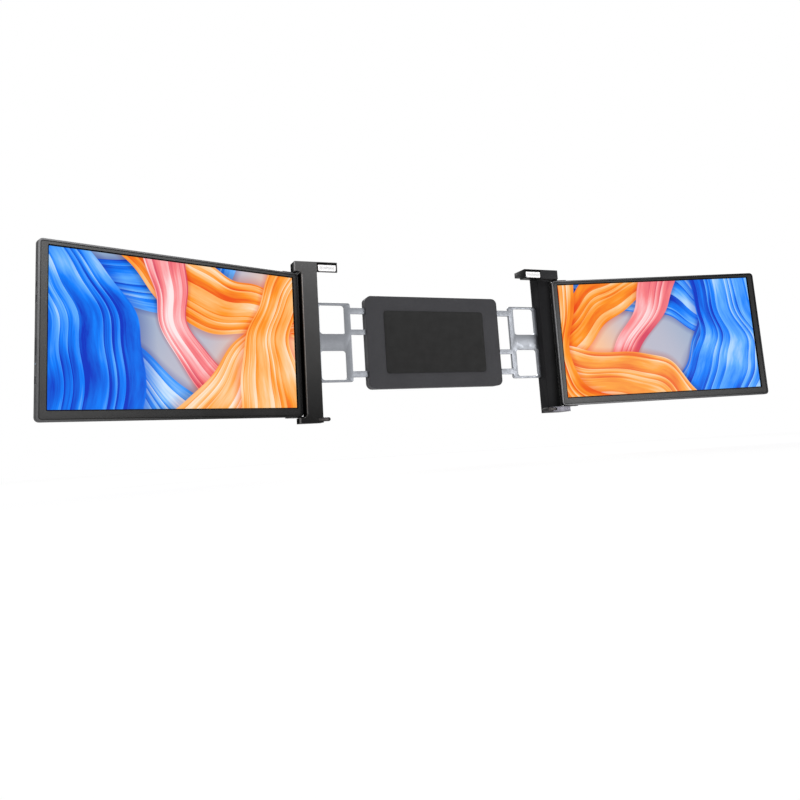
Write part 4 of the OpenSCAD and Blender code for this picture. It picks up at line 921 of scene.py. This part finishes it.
class EXTENDER_OT_claws(bpy.types.Operator):
    """Finishes the sprung claws with their pads, pins and springs"""

    bl_idname = "extender.claws"
    bl_label = "Claws"

    def execute(self, context):
        body = context.scene.extender_body
        # painted shade: the recessed seat round each pad is painted black
        seat = moulded("pad_seat_painted_shade", body.gap_painted_shade, body.grain, 0.7, level=0.05)
        pad = rubber("pad_silicone", body.pad_tint, 0.0006, 0.55, SILICONE, 0.01)
        field = rubber("pad_field_silicone", body.field_tint, 0.0006, 0.6, SILICONE, 0.01)
        steel = metal("guide_steel", body.steel_tint, 0.25, (1.0, 0.1, 1.0))
        # the left claw takes the left post's painted-light top colour, the right one a painted shade
        for side, tone in (("left", body.post_tint), ("right", body.far_claw_painted_shade)):
            plastic = moulded(f"{side}_claw_plastic", tone, body.grain, 0.45)
            claw = eased_copy(f"{side}_claw", plastic, SMALL_EDGE)
            low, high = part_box(f"{side}_claw")
            free_end = min(abs(low.x), abs(high.x))
            face_material(claw, seat, lambda centre, normal: (
                low.y + SEAT_FRONT < centre.y < low.y + SEAT_BACK and centre.z < high.z - SEAT_INSET
                and abs(centre.x) > free_end + SEAT_INSET))
            white = eased_copy(f"{side}_claw_pad", pad, SMALL_EDGE)
            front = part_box(f"{side}_claw_pad")[0].y
            face_material(white, field, lambda centre, normal: (
                normal.y < -0.5 and front + FIELD_FRONT < centre.y < front + FIELD_BACK))
            dress(f"{side}_claw_pin", steel)
            self.add_spring(side, steel)
        return {"FINISHED"}

    def add_spring(self, side, steel):
        """The spring on the guide pin, given a mesh of its own."""
        spring = eased_copy(f"{side}_claw_spring", steel, 0.0)
        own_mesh(spring)


class EXTENDER_OT_fingers(bpy.types.Operator):
    """Finishes the sliding fingers and their rubber tips"""

    bl_idname = "extender.fingers"
    bl_label = "Fingers"

    def execute(self, context):
        body = context.scene.extender_body
        bar = metal("finger_metal", body.finger_tint, 0.42, (0.2, 1.0, 1.0))
        tip = rubber("tip_rubber", body.rubber_tint)
        for side in SIDES:
            eased_copy(f"{side}_finger", bar, SMALL_EDGE)
            eased_copy(f"{side}_finger_tip", tip, SMALL_EDGE)
        return {"FINISHED"}


class EXTENDER_OT_bracket(bpy.types.Operator):
    """Finishes the centre bracket with its rest pad and screws"""

    bl_idname = "extender.bracket"
    bl_label = "Bracket"

    def execute(self, context):
        body = context.scene.extender_body
        plastic = moulded("bracket_plastic", body.cover_tint, body.grain * 1.3, 0.52, COARSE)
        eased_copy("bracket_front_cover", plastic, COVER_EDGE)
        eased_copy("bracket_rear_cover", plastic, BROAD_EDGE)
        eased_copy("rest_pad", rubber("rest_rubber", body.rubber_tint, 0.0014), SMALL_EDGE)
        dress("bracket_screws", metal("bracket_screw_steel", body.screw_tint, 0.35))
        return {"FINISHED"}


class EXTENDER_OT_slides(bpy.types.Operator):
    """Finishes the slide frames with their racks, and the pinion"""

    bl_idname = "extender.slides"
    bl_label = "Slides"

    def execute(self, context):
        body = context.scene.extender_body
        anodised = metal("slide_aluminium", body.slide_tint, 0.42)
        for side in SIDES:
            eased_copy(f"{side}_slide_frame", anodised, SMALL_EDGE)
        gear = moulded("gear_plastic", body.gear_tint, 0.0008, 0.4, 0.00001, 0.5, 0.03)
        eased_copy("pinion", gear, FINE_EDGE)
        dress("pinion_pin", metal("pinion_pin_steel", body.steel_tint, 0.2, (1.0, 0.1, 1.0)))
        return {"FINISHED"}


class EXTENDER_OT_kickstand(bpy.types.Operator):
    """Finishes the kickstand with its pin and its foot"""

    bl_idname = "extender.kickstand"
    bl_label = "Kickstand"

    def execute(self, context):
        body = context.scene.extender_body
        painted = moulded("stand_paint", toned(body.shell_tint, 1.05), 0.0004, 0.4, SATIN, 0.5)
        eased_copy("kickstand", painted, COVER_EDGE)
        eased_copy("kickstand_foot", rubber("foot_rubber", body.rubber_tint), COVER_EDGE)
        dress("kickstand_pin", metal("kickstand_pin_steel", body.steel_tint, 0.25, (0.1, 1.0, 1.0)))
        return {"FINISHED"}


class EXTENDER_OT_inner_parts(bpy.types.Operator):
    """Finishes the boards and backlights inside the screens"""

    bl_idname = "extender.inner_parts"
    bl_label = "Inner Parts"

    def execute(self, context):
        body = context.scene.extender_body
        board = self.solder_mask(body.board_tint)
        foil = metal("backlight_foil", body.foil_tint, 0.3, (0.3, 1.0, 1.0))
        for side in SIDES:
            dress(f"{side}_controller_board", board)
            dress(f"{side}_backlight", foil)
        return {"FINISHED"}

    def solder_mask(self, colour):
        """Lacquer over fine tracks."""
        finish = Finish("board_laminate")
        tracks = finish.node("ShaderNodeTexVoronoi", feature="DISTANCE_TO_EDGE", distance="MANHATTAN")
        tracks.inputs["Scale"].default_value = TRACKS_PER_METRE
        finish.link(finish.places, tracks.inputs["Vector"])
        away = tracks.outputs["Distance"]
        finish.surface(Base_Color=finish.ramp(away, [(0.03, linear(toned(colour, 1.7))),
                                                     (0.06, linear(colour))]), Roughness=0.3)
        finish.bumped(away, 0.00002, 0.3)
        return finish.material


class EXTENDER_PT_sidebar(bpy.types.Panel):
    """Buttons and settings of the screen extender"""

    bl_label = "Screen Extender"
    bl_idname = "EXTENDER_PT_sidebar"
    bl_space_type = "VIEW_3D"
    bl_region_type = "UI"
    bl_category = "Extender"

    def draw(self, context):
        layout = self.layout
        for operator in OPERATORS:
            layout.operator(operator.bl_idname)
        for group in (context.scene.extender_body, context.scene.extender_display,
                      context.scene.extender_studio):
            box = layout.box()
            for name in group.__annotations__:
                box.prop(group, name)


OPERATORS = (
    EXTENDER_OT_studio,
    EXTENDER_OT_screen_housings,
    EXTENDER_OT_displays,
    EXTENDER_OT_edge_controls,
    EXTENDER_OT_hinges,
    EXTENDER_OT_posts,
    EXTENDER_OT_claws,
    EXTENDER_OT_fingers,
    EXTENDER_OT_bracket,
    EXTENDER_OT_slides,
    EXTENDER_OT_kickstand,
    EXTENDER_OT_inner_parts,
)
SETTINGS = (ExtenderBodyFinish, ExtenderDisplayLook, ExtenderStudio)
CLASSES = SETTINGS + OPERATORS + (EXTENDER_PT_sidebar,)


def register():
    for kind in CLASSES:
        bpy.utils.register_class(kind)
    bpy.types.Scene.extender_body = bpy.props.PointerProperty(type=ExtenderBodyFinish)
    bpy.types.Scene.extender_display = bpy.props.PointerProperty(type=ExtenderDisplayLook)
    bpy.types.Scene.extender_studio = bpy.props.PointerProperty(type=ExtenderStudio)


def unregister():
    del bpy.types.Scene.extender_studio
    del bpy.types.Scene.extender_display
    del bpy.types.Scene.extender_body
    for kind in reversed(CLASSES):
        bpy.utils.unregister_class(kind)


def main():
    register()
    bpy.ops.extender.studio()
    bpy.ops.extender.screen_housings()
    bpy.ops.extender.displays()
    bpy.ops.extender.edge_controls()
    bpy.ops.extender.hinges()
    bpy.ops.extender.posts()
    bpy.ops.extender.claws()
    bpy.ops.extender.fingers()
    bpy.ops.extender.bracket()
    bpy.ops.extender.slides()
    bpy.ops.extender.kickstand()
    bpy.ops.extender.inner_parts()


if __name__ == "__main__":
    main()
